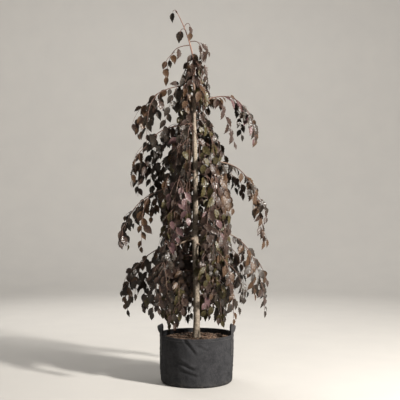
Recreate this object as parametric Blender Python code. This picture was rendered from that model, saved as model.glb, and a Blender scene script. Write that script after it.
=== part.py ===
"""Weeping copper beech in a black fabric grow bag with two strap handles.

Metres, +Z up. The origin is the middle of the bag's flat underside. The front of
the plant faces -Y and its right side is +X.

One rule grows the whole tree. The trunk carries arches: each leaves the trunk,
reaches out and bends over. The first stretch of a large arch is a bare bough. The
rest is the stem of a mass of foliage, and lets shoots hang on alternate sides.
Leaves stand in two ranks along stem and shoots. Every random draw comes from a
seed that belongs to its own arch, so each run grows the same tree.
"""

import math
import random
from dataclasses import dataclass

import bmesh
import bpy
import numpy as np
from mathutils import Vector, kdtree

UP = Vector((0.0, 0.0, 1.0))
DOWN = -UP

# Gap between solids that meet.
GAP = 0.0003

# Grow bag: an open felt tub with a soft round foot edge and a turned hem.
BAG_HEIGHT = 0.330
BAG_TOP_RADIUS = 0.254
BAG_FOOT_RADIUS = 0.246
BAG_FOOT_ROUND = 0.018
BAG_WALL = 0.004
BAG_SIDES = 36
BAG_SMOOTH_ANGLE = 35.0
FOOT_STEPS = 2
HEM_DEPTH = 0.022
HEM_THICKNESS = 0.0012

# Compost: its surface lies a little below the rim and is level round the trunk.
SOIL_HEIGHT = 0.300
SOIL_EDGE_DROP = 0.008
SOIL_LEVEL_RADIUS = 0.060

# Webbing handles: two legs on the wall and a loop that stands over the rim.
STRAP_WIDTH = 0.036
STRAP_THICKNESS = 0.003
HANDLE_LEG_TURN = 20.0
HANDLE_LEG_FOOT = 0.190
HANDLE_TOP = 0.394
HANDLE_LEAN = 0.014
HANDLE_BARE_RISE = 0.012
STRAP_STEP_OUT = 0.006
HANDLE_LOOP_STEPS = 14
HANDLE_TWIST_EASE = 0.8
STRAP_SMOOTH_ANGLE = 40.0

# Trunk: nearly upright, with a small root flare and a leader that curls to the left.
TRUNK_TIP_HEIGHT = 2.554
TRUNK_LEAN = 0.018
TRUNK_LEAN_END = 0.8
TRUNK_CURL = 0.124
TRUNK_CURL_START = 2.10
TRUNK_SWAY = 0.004
TRUNK_SWAY_LENGTH = 0.85
TRUNK_SWAY_SIDEWAYS = 0.5
TRUNK_PROFILE = ((0.30, 0.0225), (1.25, 0.0185), (1.60, 0.0160), (1.90, 0.0110),
                 (2.20, 0.0062), (2.40, 0.0040), (2.554, 0.0021))
FLARE_WIDTH = 0.006
FLARE_HEIGHT = 0.030
FLARE_STATIONS = (0.0, 0.020, 0.055, 0.110)
TRUNK_STEP = 0.18
LEADER_STEP = 0.055
TRUNK_SIDES = 14
LIMB_SMOOTH_ANGLE = 60.0

# Boughs and twigs.
BOUGH_ROOT_RADIUS = 0.0075
BOUGH_SHARE_OF_TRUNK = 0.6
BOUGH_END_RADIUS = 0.0036
BOUGH_SIDES = 6
BOUGH_STEP = 0.075
STEM_ROOT_RADIUS = 0.0040
SHOOT_ROOT_RADIUS = 0.0032
TWIG_TIP_RADIUS = 0.0022
TWIG_SIDES = 3
STEM_STEP = 0.140
TIP_INSET = 0.035
TIP_RAISE = 0.070
ARCH_CREST_START = 0.45
ARCH_CREST_END = 0.92
ARCH_SWAY = 0.03
SHOOT_STEP = 0.095
SHOOT_WEIGHT = 1.10
SHOOT_WANDER = 0.10
SHOOT_SPREAD = 58.0
SHOOT_SPREAD_RANGE = (0.6, 1.2)
SHOOT_PLACE_RANGE = (0.25, 0.75)
SHOOT_LENGTH_RANGE = (0.75, 1.15)
SHOOT_LENGTH_AT_ROOT = 1.15
SHOOT_LENGTH_LOSS = 0.30
SHOOT_HANG = 0.060
SHOOT_RISE = 0.15
SHOOTS_END = 0.80
SHORTEST_TWIG = 0.060

# Leaves, which are half as long again as in life, because they are fewer.
LEAF_LENGTH = 0.106
LEAF_LENGTH_SPREAD = 0.14
LEAF_BREADTH = 0.56
LEAF_WIDEST = 0.47
LEAF_THICKNESS = 0.0026
LEAF_FOLD = 0.10
LEAF_RIB = 0.13
LEAF_ROOT_SINK = 0.0005
TIP_LEAF_SINK = 0.0060
LEAF_PITCH = 0.054
LEAF_PITCH_RANGE = (0.85, 1.15)
FIRST_LEAF = 0.034
FIRST_LEAF_RANGE = (0.8, 1.4)
LEAF_SIDEWAYS = 0.95
LEAF_ALONG = 0.35
LEAF_HANG = 0.65
LEAF_TURN = 0.35
LEAF_WAY_TURN = 0.5
LIGHT = Vector((0.25, -1.0, 0.55)).normalized()
LIGHT_SHARE = 0.75
OUTWARD_SHARE = 0.45
FACING_SPREAD = 0.45
LEAF_TRIES = 4

# Clear space that masses keep to each other and to the limbs.
SAMPLE_STEP = 0.006
WAY_STEP = 0.01
MASS_CLEARANCE = 0.010
LEAF_CLEARANCE = 0.006
LIMB_CLEARANCE = 0.006
ROOT_REACH = 0.030
FOLIAGE_FLOOR = 0.350
HANDLE_FLOOR = 0.410
HANDLE_ZONE = 0.200
SHARED_RADIUS = 0.10
REACH_SLACK = 0.015


@dataclass(frozen=True)
class Arch:
    """One arch: where it leaves the trunk, its size, and the shoots that it lets hang.

    Azimuth runs from +X towards +Y, in degrees. Lift is the height of its crest and
    drop that of its tip below its start. The bare share is the part that is a bough.
    """

    name: str
    height: float
    azimuth: float
    reach: float
    lift: float
    drop: float
    bare: float
    shoots: int
    shoot_length: float
    half_angle: float = 60.0


# Arches of the outline: each starts with a bare bough and ends in a hanging tip.
OUTER_ARCHES = (
    Arch("upper_left", 2.05, 184, 0.415, -0.04, 0.43, 0.30, 2, 0.30),
    Arch("upper_right", 1.90, 358, 0.430, 0.10, 0.30, 0.34, 3, 0.28),
    Arch("upper_back", 1.96, 96, 0.330, 0.03, 0.40, 0.34, 2, 0.30),
    Arch("middle_left", 1.77, 175, 0.420, -0.02, 0.49, 0.36, 3, 0.30),
    Arch("middle_right", 1.50, 4, 0.500, 0.03, 0.64, 0.40, 3, 0.36),
    Arch("middle_back_left", 1.64, 132, 0.430, 0.00, 0.50, 0.40, 2, 0.34),
    Arch("middle_back_right", 1.70, 50, 0.420, 0.02, 0.50, 0.40, 2, 0.34),
    Arch("front_left", 1.44, 237, 0.290, 0.03, 0.56, 0.36, 2, 0.32),
    Arch("front_right", 1.26, 301, 0.280, 0.02, 0.44, 0.36, 2, 0.28),
    Arch("lower_left", 1.40, 187, 0.520, -0.10, 0.52, 0.38, 3, 0.34),
    Arch("lower_back", 1.30, 92, 0.500, 0.00, 0.58, 0.40, 2, 0.36),
    Arch("skirt_left", 1.02, 174, 0.508, -0.12, 0.56, 0.38, 3, 0.32),
    Arch("skirt_right", 1.05, 355, 0.490, -0.02, 0.63, 0.40, 3, 0.38),
    Arch("skirt_back_left", 1.00, 136, 0.480, -0.06, 0.54, 0.40, 2, 0.34),
    Arch("skirt_back_right", 1.06, 46, 0.480, -0.03, 0.58, 0.40, 2, 0.36),
    Arch("skirt_front_left", 0.98, 222, 0.380, -0.04, 0.54, 0.38, 2, 0.32),
    Arch("skirt_front_right", 0.94, 316, 0.380, -0.02, 0.54, 0.38, 2, 0.32),
)

# Small arches on the leader, each a mass of its own that leaves the trunk itself.
LEADER_ARCHES = (
    Arch("leader_tip", 2.554, 180, 0.040, 0.000, 0.080, 0.0, 0, 0.0),
    Arch("leader_left", 2.425, 185, 0.060, 0.004, 0.110, 0.0, 0, 0.0),
    Arch("leader_right", 2.440, 355, 0.080, 0.035, 0.110, 0.0, 0, 0.0),
    Arch("top_left", 2.315, 182, 0.190, -0.01, 0.28, 0.0, 1, 0.14),
    Arch("top_right", 2.335, 352, 0.130, 0.01, 0.22, 0.0, 1, 0.12),
    Arch("top_back", 2.260, 88, 0.100, 0.02, 0.26, 0.0, 1, 0.14),
    Arch("top_front", 2.240, 282, 0.080, 0.02, 0.24, 0.0, 1, 0.12),
)

# Rings of curtains that hang close round the trunk: name, height, reach, lift, drop,
# shoots on each, their length, and the ways they point.
CURTAIN_RINGS = (
    ("neck", 2.12, 0.110, 0.02, 0.34, 1, 0.18, (208, 322)),
    ("high", 1.84, 0.180, 0.03, 0.48, 3, 0.26, (155, 12, 248)),
    ("mid", 1.56, 0.240, 0.03, 0.64, 4, 0.34, (200, 95, 335)),
    ("low", 1.18, 0.250, 0.02, 0.62, 3, 0.34, (158, 22, 296)),
    ("hem", 0.86, 0.230, 0.02, 0.50, 3, 0.28, (192, 95, 348)),
)
RING_STAGGER = 0.05
CURTAIN_HALF_ANGLE = 75.0

# Finishes: colour, roughness and metallic value.
FINISHES = {
    "felt": ((0.016, 0.016, 0.018), 0.95, 0.0),
    "webbing": ((0.022, 0.022, 0.025), 0.85, 0.0),
    "compost": ((0.085, 0.050, 0.032), 0.95, 0.0),
    "bark": ((0.300, 0.250, 0.190), 0.80, 0.0),
    "bough bark": ((0.190, 0.120, 0.090), 0.75, 0.0),
    "copper leaf": ((0.060, 0.028, 0.034), 0.45, 0.0),
}


def clear_scene():
    """Remove every object that the file opened with."""
    for obj in list(bpy.data.objects):
        bpy.data.objects.remove(obj, do_unlink=True)


def finish_material(name):
    """The material of a finish, made the first time that it is asked for."""
    material = bpy.data.materials.get(name)
    if material:
        return material
    color, roughness, metallic = FINISHES[name]
    material = bpy.data.materials.new(name)
    material.use_nodes = True
    shader = material.node_tree.nodes["Principled BSDF"]
    shader.inputs["Base Color"].default_value = (*color, 1.0)
    shader.inputs["Roughness"].default_value = roughness
    shader.inputs["Metallic"].default_value = metallic
    material.diffuse_color = (*color, 1.0)
    return material


def add_object(name, bm, finish, smooth_angle=None):
    """Turn a bmesh into a named object of the scene with its finish."""
    mesh = bpy.data.meshes.new(name)
    bm.to_mesh(mesh)
    bm.free()
    if smooth_angle is not None:
        mesh.shade_smooth()
        mesh.set_sharp_from_angle(angle=math.radians(smooth_angle))
    mesh.materials.append(finish_material(finish))
    obj = bpy.data.objects.new(name, mesh)
    bpy.context.scene.collection.objects.link(obj)
    return obj


def turned(name, profile, sides, finish):
    """A solid of revolution whose profile starts and ends on the Z axis.

    The first side faces +X square on, so flat things can lie on the sides.
    """
    bm = bmesh.new()
    rings = []
    for radius, height in profile:
        if radius == 0.0:
            rings.append([bm.verts.new((0.0, 0.0, height))])
            continue
        ring = []
        for side in range(sides):
            turn = math.tau * (side + 0.5) / sides
            ring.append(bm.verts.new((radius * math.cos(turn), radius * math.sin(turn), height)))
        rings.append(ring)
    for low, high in zip(rings, rings[1:]):
        for side in range(sides):
            after = (side + 1) % sides
            corners = [low[side % len(low)], low[after % len(low)],
                       high[after % len(high)], high[side % len(high)]]
            bm.faces.new(list(dict.fromkeys(corners)))
    bmesh.ops.recalc_face_normals(bm, faces=bm.faces)
    return add_object(name, bm, finish, smooth_angle=BAG_SMOOTH_ANGLE)


def bag_radius(height):
    """Outer radius of the bag's wall at a height above its round foot edge."""
    share = (height - BAG_FOOT_ROUND) / (BAG_HEIGHT - BAG_FOOT_ROUND)
    return BAG_FOOT_RADIUS + (BAG_TOP_RADIUS - BAG_FOOT_RADIUS) * max(share, 0.0)


def make_bag():
    """The felt tub: flat underside, round foot edge, wall, turned hem and open inside."""
    profile = [(0.0, 0.0)]
    foot_centre = BAG_FOOT_RADIUS - BAG_FOOT_ROUND
    for step in range(FOOT_STEPS + 1):
        turn = math.pi / 2 * step / FOOT_STEPS
        profile.append((foot_centre + BAG_FOOT_ROUND * math.sin(turn),
                        BAG_FOOT_ROUND * (1.0 - math.cos(turn))))
    hem_foot = BAG_HEIGHT - HEM_DEPTH
    profile.append((bag_radius(hem_foot), hem_foot))
    profile.append((bag_radius(hem_foot) + HEM_THICKNESS, hem_foot + HEM_THICKNESS))
    profile.append((BAG_TOP_RADIUS + HEM_THICKNESS, BAG_HEIGHT - HEM_THICKNESS))
    profile.append((BAG_TOP_RADIUS, BAG_HEIGHT))
    profile.append((BAG_TOP_RADIUS - BAG_WALL, BAG_HEIGHT))
    profile.append((BAG_FOOT_RADIUS - BAG_WALL, BAG_FOOT_ROUND))
    profile.append((foot_centre, BAG_WALL))
    profile.append((0.0, BAG_WALL))
    return turned("grow_bag", profile, BAG_SIDES, "felt")


def make_compost():
    """The filled root space inside the bag, level where the trunk stands on it."""
    inner = BAG_WALL + GAP / math.cos(math.pi / BAG_SIDES)
    edge_height = SOIL_HEIGHT - SOIL_EDGE_DROP
    foot = BAG_WALL + GAP
    profile = (
        (0.0, foot),
        (BAG_FOOT_RADIUS - BAG_FOOT_ROUND - GAP, foot),
        (BAG_FOOT_RADIUS - inner, BAG_FOOT_ROUND + GAP),
        (bag_radius(edge_height) - inner, edge_height),
        (SOIL_LEVEL_RADIUS, SOIL_HEIGHT),
        (0.0, SOIL_HEIGHT),
    )
    return turned("compost", profile, BAG_SIDES, "compost")


def handle_section(share):
    """Centre, width way and face way of the free loop, from one leg (0) to the other (1).

    The strap leaves the wall with its face outwards, turns a quarter as it rises, so
    that it can bend over the top, and turns back on its way down.
    """
    leg = math.radians(HANDLE_LEG_TURN)
    start_height = BAG_HEIGHT + HANDLE_BARE_RISE
    lay = HEM_THICKNESS + GAP + STRAP_THICKNESS / 2
    distance = (BAG_TOP_RADIUS + lay) * math.cos(math.pi / BAG_SIDES)
    swing = math.pi * share
    rise = math.sin(swing)
    half_span = distance * math.sin(leg)
    centre = Vector((distance * math.cos(leg) + HANDLE_LEAN * rise,
                     -half_span * math.cos(swing),
                     start_height + (HANDLE_TOP - STRAP_THICKNESS / 2 - start_height) * rise))
    along = Vector((HANDLE_LEAN * math.cos(swing), half_span * math.sin(swing),
                    (HANDLE_TOP - start_height) * math.cos(swing))).normalized()
    leg_turn = leg * (2.0 * share - 1.0)
    outward = Vector((math.cos(leg_turn), math.sin(leg_turn), 0.0))
    outward = (outward - along * outward.dot(along)).normalized()
    upward = along.cross(outward)
    twist = math.radians(90.0) * rise ** HANDLE_TWIST_EASE
    face = outward * math.cos(twist) - upward * math.sin(twist)
    return centre, face.cross(along).normalized(), face.normalized()


def handle_leg(side_sign, height):
    """Centre, width way and face way of a leg at a height on the bag's wall."""
    turn = math.radians(HANDLE_LEG_TURN) * side_sign
    outward = Vector((math.cos(turn), math.sin(turn), 0.0))
    lay = HEM_THICKNESS + GAP + STRAP_THICKNESS / 2
    distance = (BAG_TOP_RADIUS + lay) * math.cos(math.pi / BAG_SIDES)
    if height < BAG_HEIGHT - HEM_DEPTH - STRAP_STEP_OUT:
        wall = bag_radius(height) * math.cos(math.pi / BAG_SIDES)
        distance = wall + GAP + STRAP_THICKNESS / 2
    centre = outward * distance + UP * height
    return centre, outward.cross(DOWN * side_sign).normalized(), outward


def make_handle(name, side):
    """A webbing handle: up one leg, over the loop and down the other leg."""
    hem_foot = BAG_HEIGHT - HEM_DEPTH
    leg_heights = (HANDLE_LEG_FOOT, hem_foot - 2 * STRAP_STEP_OUT,
                   hem_foot - STRAP_STEP_OUT, BAG_HEIGHT)
    sections = [handle_leg(-1.0, height) for height in leg_heights]
    for step in range(HANDLE_LOOP_STEPS + 1):
        sections.append(handle_section(step / HANDLE_LOOP_STEPS))
    sections += [handle_leg(1.0, height) for height in reversed(leg_heights)]
    bm = bmesh.new()
    rings = []
    for centre, width_way, face_way in sections:
        half_width = width_way * STRAP_WIDTH / 2
        half_face = face_way * STRAP_THICKNESS / 2
        ring = []
        for corner in (-half_width - half_face, half_width - half_face,
                       half_width + half_face, -half_width + half_face):
            place = centre + corner
            ring.append(bm.verts.new((place.x * side, place.y * side, place.z)))
        rings.append(ring)
    join_rings(bm, rings)
    return add_object(name, bm, "webbing", smooth_angle=STRAP_SMOOTH_ANGLE)


def join_rings(bm, rings):
    """Close a row of rings into one solid with flat ends."""
    count = len(rings[0])
    for low, high in zip(rings, rings[1:]):
        for side in range(count):
            after = (side + 1) % count
            bm.faces.new((low[side], low[after], high[after], high[side]))
    bm.faces.new(rings[0][::-1])
    bm.faces.new(rings[-1])
    bmesh.ops.recalc_face_normals(bm, faces=bm.faces)


def tube(points, radii, sides, first_way=None, reference=UP):
    """A solid along points, as a bmesh, with a corner of each ring towards the reference.

    The first ring may be turned to face a given way.
    """
    bm = bmesh.new()
    ways = []
    for index in range(len(points)):
        before = points[max(index - 1, 0)]
        after = points[min(index + 1, len(points) - 1)]
        ways.append((after - before).normalized())
    if first_way is not None:
        ways[0] = first_way
    rings = []
    for point, way, radius in zip(points, ways, radii):
        reference = (reference - way * reference.dot(way)).normalized()
        across = way.cross(reference)
        ring = []
        for side in range(sides):
            turn = math.tau * side / sides
            spoke = reference * math.cos(turn) + across * math.sin(turn)
            ring.append(bm.verts.new(point + spoke * radius))
        rings.append(ring)
    join_rings(bm, rings)
    return bm


def trunk_stations():
    """Heights of the trunk's rings: close at the flare and the leader, even between."""
    heights = [SOIL_HEIGHT + GAP + rise for rise in FLARE_STATIONS]
    while heights[-1] < TRUNK_CURL_START:
        heights.append(heights[-1] + TRUNK_STEP)
    steps = round((TRUNK_TIP_HEIGHT - heights[-1]) / LEADER_STEP)
    last = heights[-1]
    for step in range(1, steps + 1):
        heights.append(last + (TRUNK_TIP_HEIGHT - last) * step / steps)
    return np.array(heights)


def trunk_line(heights):
    """Centres (x, y) and radii of the trunk at the given heights."""
    rise = (heights - SOIL_HEIGHT) / (TRUNK_TIP_HEIGHT - SOIL_HEIGHT)
    curl = np.clip((heights - TRUNK_CURL_START) / (TRUNK_TIP_HEIGHT - TRUNK_CURL_START), 0.0, 1.0)
    sway = TRUNK_SWAY * np.sin(math.tau * (heights - SOIL_HEIGHT) / TRUNK_SWAY_LENGTH)
    lean = TRUNK_LEAN * np.clip(rise / TRUNK_LEAN_END, 0.0, 1.0)
    x = sway * TRUNK_SWAY_SIDEWAYS - lean - TRUNK_CURL * curl ** 2
    profile_heights, profile_radii = zip(*TRUNK_PROFILE)
    radii = np.interp(heights, profile_heights, profile_radii)
    radii = radii + FLARE_WIDTH * np.exp(-(heights - SOIL_HEIGHT) / FLARE_HEIGHT)
    return x, sway, radii


STATIONS = trunk_stations()
STATION_X, STATION_Y, STATION_RADII = trunk_line(STATIONS)


def trunk_centre(height):
    """Centre of the trunk's solid at a height."""
    return Vector((float(np.interp(height, STATIONS, STATION_X)),
                   float(np.interp(height, STATIONS, STATION_Y)), height))


def trunk_radius(height):
    """Radius of the trunk's solid at a height."""
    return float(np.interp(height, STATIONS, STATION_RADII))


def trunk_way(height):
    """The way the trunk grows at a height."""
    return (trunk_centre(height + WAY_STEP) - trunk_centre(height - WAY_STEP)).normalized()


def make_trunk():
    """The trunk, from its level cut on the compost to the leader's tip."""
    points = [Vector(place) for place in zip(STATION_X, STATION_Y, STATIONS)]
    bm = tube(points, STATION_RADII, TRUNK_SIDES, first_way=UP, reference=Vector((1.0, 0.0, 0.0)))
    return add_object("trunk", bm, "bark", smooth_angle=LIMB_SMOOTH_ANGLE)


def root_of(arch):
    """Where an arch meets the trunk's bark, and the way its root faces."""
    turn = math.radians(arch.azimuth)
    outward = Vector((math.cos(turn), math.sin(turn), 0.0))
    way = trunk_way(arch.height)
    if arch.height >= TRUNK_TIP_HEIGHT:
        return trunk_centre(TRUNK_TIP_HEIGHT) + way * GAP, way, outward
    facing = (outward - way * outward.dot(way)).normalized()
    start = trunk_centre(arch.height) + facing * (trunk_radius(arch.height) + GAP)
    return start, facing, outward


def arch_point(arch, share):
    """The arch's line: a cubic that crests beyond its middle and ends hanging."""
    start, _, outward = root_of(arch)
    sideways = UP.cross(outward)
    lean = random.Random(arch.name + " sway").uniform(-1.0, 1.0) * ARCH_SWAY
    reach = max(arch.reach - TIP_INSET, arch.reach / 2)
    ends = (
        start,
        start + outward * reach * ARCH_CREST_START + UP * arch.lift,
        start + outward * reach * ARCH_CREST_END + UP * arch.lift + sideways * lean,
        start + outward * reach - UP * max(arch.drop - TIP_RAISE, 0.0) - sideways * lean,
    )
    rest = 1.0 - share
    weights = (rest ** 3, 3.0 * rest ** 2 * share, 3.0 * rest * share ** 2, share ** 3)
    return sum((end * weight for end, weight in zip(ends, weights)), Vector())


def arch_stretch(arch, first, last, step):
    """Even points along a part of the arch."""
    length = arch.reach + abs(arch.lift) + arch.drop
    count = max(2, round(length * (last - first) / step))
    return [arch_point(arch, first + (last - first) * index / count)
            for index in range(count + 1)]


def taper(count, root_radius, tip_radius):
    """Radii that fall evenly from root to tip."""
    return [root_radius + (tip_radius - root_radius) * index / (count - 1)
            for index in range(count)]


def bough_line(arch):
    """Points and radii of the bare bough at the root of an arch."""
    points = arch_stretch(arch, 0.0, arch.bare, BOUGH_STEP)
    root_radius = min(BOUGH_ROOT_RADIUS, trunk_radius(arch.height) * BOUGH_SHARE_OF_TRUNK)
    return points, taper(len(points), root_radius, BOUGH_END_RADIUS)


def make_bough(arch):
    """The bare bough, cut square where its mass of foliage takes over."""
    points, radii = bough_line(arch)
    _, facing, _ = root_of(arch)
    bm = tube(points, radii, BOUGH_SIDES, first_way=facing)
    return add_object("bough_" + arch.name, bm, "bough bark", smooth_angle=LIMB_SMOOTH_ANGLE)


def stem_line(arch):
    """Points of a mass's stem, 0.3 mm clear of the bough or trunk that carries it."""
    points = arch_stretch(arch, arch.bare, 1.0, STEM_STEP)
    if arch.bare > 0.0:
        bough_points, _ = bough_line(arch)
        way = (bough_points[-1] - bough_points[-2]).normalized()
        points[0] = bough_points[-1] + way * GAP
        return points, way
    return points, root_of(arch)[1]


def twig_facing(outward, draw):
    """The way a twig turns its leaves: partly to the light and partly outwards."""
    spread = Vector([draw.uniform(-1.0, 1.0) for _ in range(3)]) * FACING_SPREAD
    return (LIGHT * LIGHT_SHARE + outward * OUTWARD_SHARE + spread).normalized()


def twigs_of(arch):
    """The stem of a mass and the shoots that hang from it on alternate sides."""
    draw = random.Random(arch.name + " shoots")
    outward = root_of(arch)[2]
    points, stem_way = stem_line(arch)
    twigs = [Twig(points, 0.0, STEM_ROOT_RADIUS, twig_facing(outward, draw), stem_way)]
    side = draw.choice((-1.0, 1.0))
    for index in range(arch.shoots):
        share = (index + draw.uniform(*SHOOT_PLACE_RANGE)) / arch.shoots
        place = line_length(points) * SHOOTS_END * share
        spread = side * draw.uniform(*SHOOT_SPREAD_RANGE) * SHOOT_SPREAD
        turn = math.radians(arch.azimuth + spread)
        heading = Vector((math.cos(turn), math.sin(turn), SHOOT_RISE)).normalized()
        length = arch.shoot_length * draw.uniform(*SHOOT_LENGTH_RANGE)
        length *= SHOOT_LENGTH_AT_ROOT - SHOOT_LENGTH_LOSS * share
        line = [along_line(points, place)[0]]
        for _ in range(max(2, round(length / SHOOT_STEP))):
            wander = Vector([draw.uniform(-1.0, 1.0) for _ in range(3)]) * SHOOT_WANDER
            heading = (heading + DOWN * SHOOT_WEIGHT + wander).normalized()
            line.append(line[-1] + heading * SHOOT_STEP)
        twigs.append(Twig(line, place, SHOOT_ROOT_RADIUS, twig_facing(outward, draw)))
        side = -side
    return twigs


def along_line(points, distance):
    """The point and the way at a distance along a line of points."""
    for before, after in zip(points, points[1:]):
        stretch = (after - before).length
        if distance <= stretch:
            return before.lerp(after, distance / stretch), (after - before).normalized()
        distance -= stretch
    return points[-1].copy(), (points[-1] - points[-2]).normalized()


def line_length(points):
    """Length of a line of points."""
    return sum((after - before).length for before, after in zip(points, points[1:]))


def line_samples(points):
    """Close points along a line, to test what it would touch."""
    count = max(2, math.ceil(line_length(points) / SAMPLE_STEP))
    return [along_line(points, line_length(points) * index / count)[0]
            for index in range(count + 1)]


@dataclass
class Twig:
    """A twig: its line, where it leaves the stem, and the way its leaves are turned."""

    points: list
    place: float
    root_radius: float
    facing: Vector
    first_way: Vector | None = None

    def build(self, thickest):
        """The three-sided twig as a bmesh, with a corner towards its leaves' upper sides."""
        radii = taper(len(self.points), min(self.root_radius, thickest), TWIG_TIP_RADIUS)
        return tube(self.points, radii, TWIG_SIDES, self.first_way, self.facing)


@dataclass(frozen=True)
class Leaf:
    """One leaf: root, way it points, way its upper side faces, length, and sunk length."""

    root: Vector
    way: Vector
    facing: Vector
    length: float
    sink: float

    def across(self):
        """The way from the midrib to one edge."""
        return self.way.cross(self.facing).normalized()

    def samples(self):
        """Close points all over the blade."""
        places = []
        rows = math.ceil(self.length / SAMPLE_STEP)
        half_breadth = self.length * LEAF_BREADTH / 2
        for row in range(1, rows + 1):
            share = row / rows
            width = share / LEAF_WIDEST if share < LEAF_WIDEST else (1 - share) / (1 - LEAF_WIDEST)
            columns = math.ceil(width * half_breadth / SAMPLE_STEP)
            for column in range(-columns, columns + 1):
                offset = width * half_breadth * column / max(columns, 1)
                rise = abs(offset) * 2 * LEAF_FOLD
                places.append(self.root + self.way * share * self.length
                              + self.across() * offset + self.facing * rise)
        return places

    def build(self):
        """The blade as a bmesh of eight faces, folded upwards along its midrib."""
        bm = bmesh.new()
        widest = self.root + self.way * self.length * LEAF_WIDEST
        edge = self.across() * self.length * LEAF_BREADTH / 2
        fold = self.facing * self.length * LEAF_BREADTH * LEAF_FOLD
        half_thickness = self.facing * LEAF_THICKNESS / 2
        sunk_root = self.root - self.way * self.sink
        rib = self.root + self.way * self.length * LEAF_RIB
        outline = [bm.verts.new(place) for place in
                   (sunk_root, widest + edge + fold, self.root + self.way * self.length,
                    widest - edge + fold)]
        above = bm.verts.new(rib + half_thickness)
        below = bm.verts.new(rib - half_thickness)
        for index, corner in enumerate(outline):
            after = outline[(index + 1) % len(outline)]
            bm.faces.new((corner, after, above))
            bm.faces.new((after, corner, below))
        bmesh.ops.recalc_face_normals(bm, faces=bm.faces)
        return bm


def leaves_along(twig, draw, is_free):
    """Leaves in two ranks along a twig, and one at its tip, where they find room."""
    points = twig.points
    side = draw.choice((-1.0, 1.0))
    length = line_length(points)
    places = []
    distance = FIRST_LEAF * draw.uniform(*FIRST_LEAF_RANGE)
    while distance < length:
        places.append((distance, side))
        distance += LEAF_PITCH * draw.uniform(*LEAF_PITCH_RANGE)
        side = -side
    places.append((length, 0.0))
    leaves = []
    for distance, side in places:
        root, way = along_line(points, distance)
        for _ in range(LEAF_TRIES):
            leaf = one_leaf(root, way, twig.facing, side, draw)
            if is_free(leaf.samples(), leaves):
                leaves.append(leaf)
                break
    return leaves


def one_leaf(root, way, facing, side, draw):
    """A leaf on a given side of its twig; it leans along the twig and hangs."""
    turn = Vector([draw.uniform(-1.0, 1.0) for _ in range(3)]) * LEAF_TURN
    sideways = way.cross(facing).normalized() * side * LEAF_SIDEWAYS
    leaf_way = sideways + way * LEAF_ALONG + DOWN * LEAF_HANG + turn * LEAF_WAY_TURN
    leaf_way.normalize()
    blade_facing = facing + turn
    blade_facing = (blade_facing - leaf_way * blade_facing.dot(leaf_way)).normalized()
    length = LEAF_LENGTH * (1.0 + draw.uniform(-1.0, 1.0) * LEAF_LENGTH_SPREAD)
    sink = LEAF_ROOT_SINK if side else TIP_LEAF_SINK
    return Leaf(root, leaf_way, blade_facing, length, sink)


class Crown:
    """What the limbs and masses already fill, so that nothing new touches it."""

    def __init__(self, limbs):
        """Take the limbs as rows of points with radii."""
        starts = []
        ends = []
        radii = []
        for points, limb_radii in limbs:
            for index in range(len(points) - 1):
                starts.append(points[index])
                ends.append(points[index + 1])
                radii.append(max(limb_radii[index], limb_radii[index + 1]))
        self.starts = np.array(starts)
        self.spans = np.array(ends) - self.starts
        self.radii = np.array(radii)
        self.filled = {}
        self.tree = None

    def start_mass(self, name):
        """Make ready to test one mass against all the others."""
        others = [place for owner, places in self.filled.items() if owner != name
                  for place in places]
        self.filled.setdefault(name, [])
        self.tree = kdtree.KDTree(len(others))
        for index, place in enumerate(others):
            self.tree.insert(place, index)
        self.tree.balance()

    def touches_limb(self, places):
        """Whether any of the places comes too close to a limb."""
        offsets = np.array(places)[:, None, :] - self.starts[None]
        shares = (offsets * self.spans).sum(-1) / (self.spans ** 2).sum(-1)
        nearest = offsets - np.clip(shares, 0.0, 1.0)[..., None] * self.spans
        return bool((np.linalg.norm(nearest, axis=-1) < self.radii + LIMB_CLEARANCE).any())

    def touches_mass(self, places):
        """Whether any of the places comes too close to another mass."""
        for place in places:
            distance = self.tree.find(place)[2]
            if distance is not None and distance < MASS_CLEARANCE:
                return True
        return False

    def is_free(self, arch, places):
        """Whether a twig or leaf at these places keeps to the air of its own mass."""
        return (in_space(arch, places) and not self.touches_limb(places)
                and not self.touches_mass(places))


def in_space(arch, places):
    """Whether the places keep to the mass's own sector, its reach and its lowest height."""
    axis = trunk_centre(arch.height)
    lowest = arch.height - arch.drop - SHOOT_HANG
    for place in places:
        floor = HANDLE_FLOOR if abs(place.x) > HANDLE_ZONE else FOLIAGE_FLOOR
        offset = place - axis
        distance = math.hypot(offset.x, offset.y)
        turn = math.degrees(math.atan2(offset.y, offset.x)) - arch.azimuth
        turn = abs((turn + 180.0) % 360.0 - 180.0)
        outside = turn > arch.half_angle and distance > SHARED_RADIUS
        if outside or distance > arch.reach + REACH_SLACK or place.z < max(floor, lowest):
            return False
    return True


def trim(arch, points, crown):
    """The part of a twig, from its root on, that keeps to the mass's own air."""
    kept = [points[0]]
    for before, after in zip(points, points[1:]):
        places = [place for place in line_samples([before, after])
                  if (place - points[0]).length > ROOT_REACH]
        if places and not crown.is_free(arch, places):
            break
        kept.append(after)
    return kept


def lay_twigs(arch, crown):
    """The twigs of a mass, each cut short where it would leave the mass's air."""
    crown.start_mass(arch.name)
    twigs = twigs_of(arch)
    for twig in twigs:
        twig.points = trim(arch, twig.points, crown)
    stem_length = line_length(twigs[0].points)
    kept = twigs[:1]
    for twig in twigs[1:]:
        if twig.place < stem_length and line_length(twig.points) >= SHORTEST_TWIG:
            kept.append(twig)
    for twig in kept:
        crown.filled[arch.name] += line_samples(twig.points)
    return kept


def far_from(places, others):
    """Whether the places keep clear of some other places."""
    if not others:
        return True
    offsets = np.array(places)[:, None, :] - np.array(others)[None]
    return bool((np.linalg.norm(offsets, axis=-1) > LEAF_CLEARANCE).all())


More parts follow.
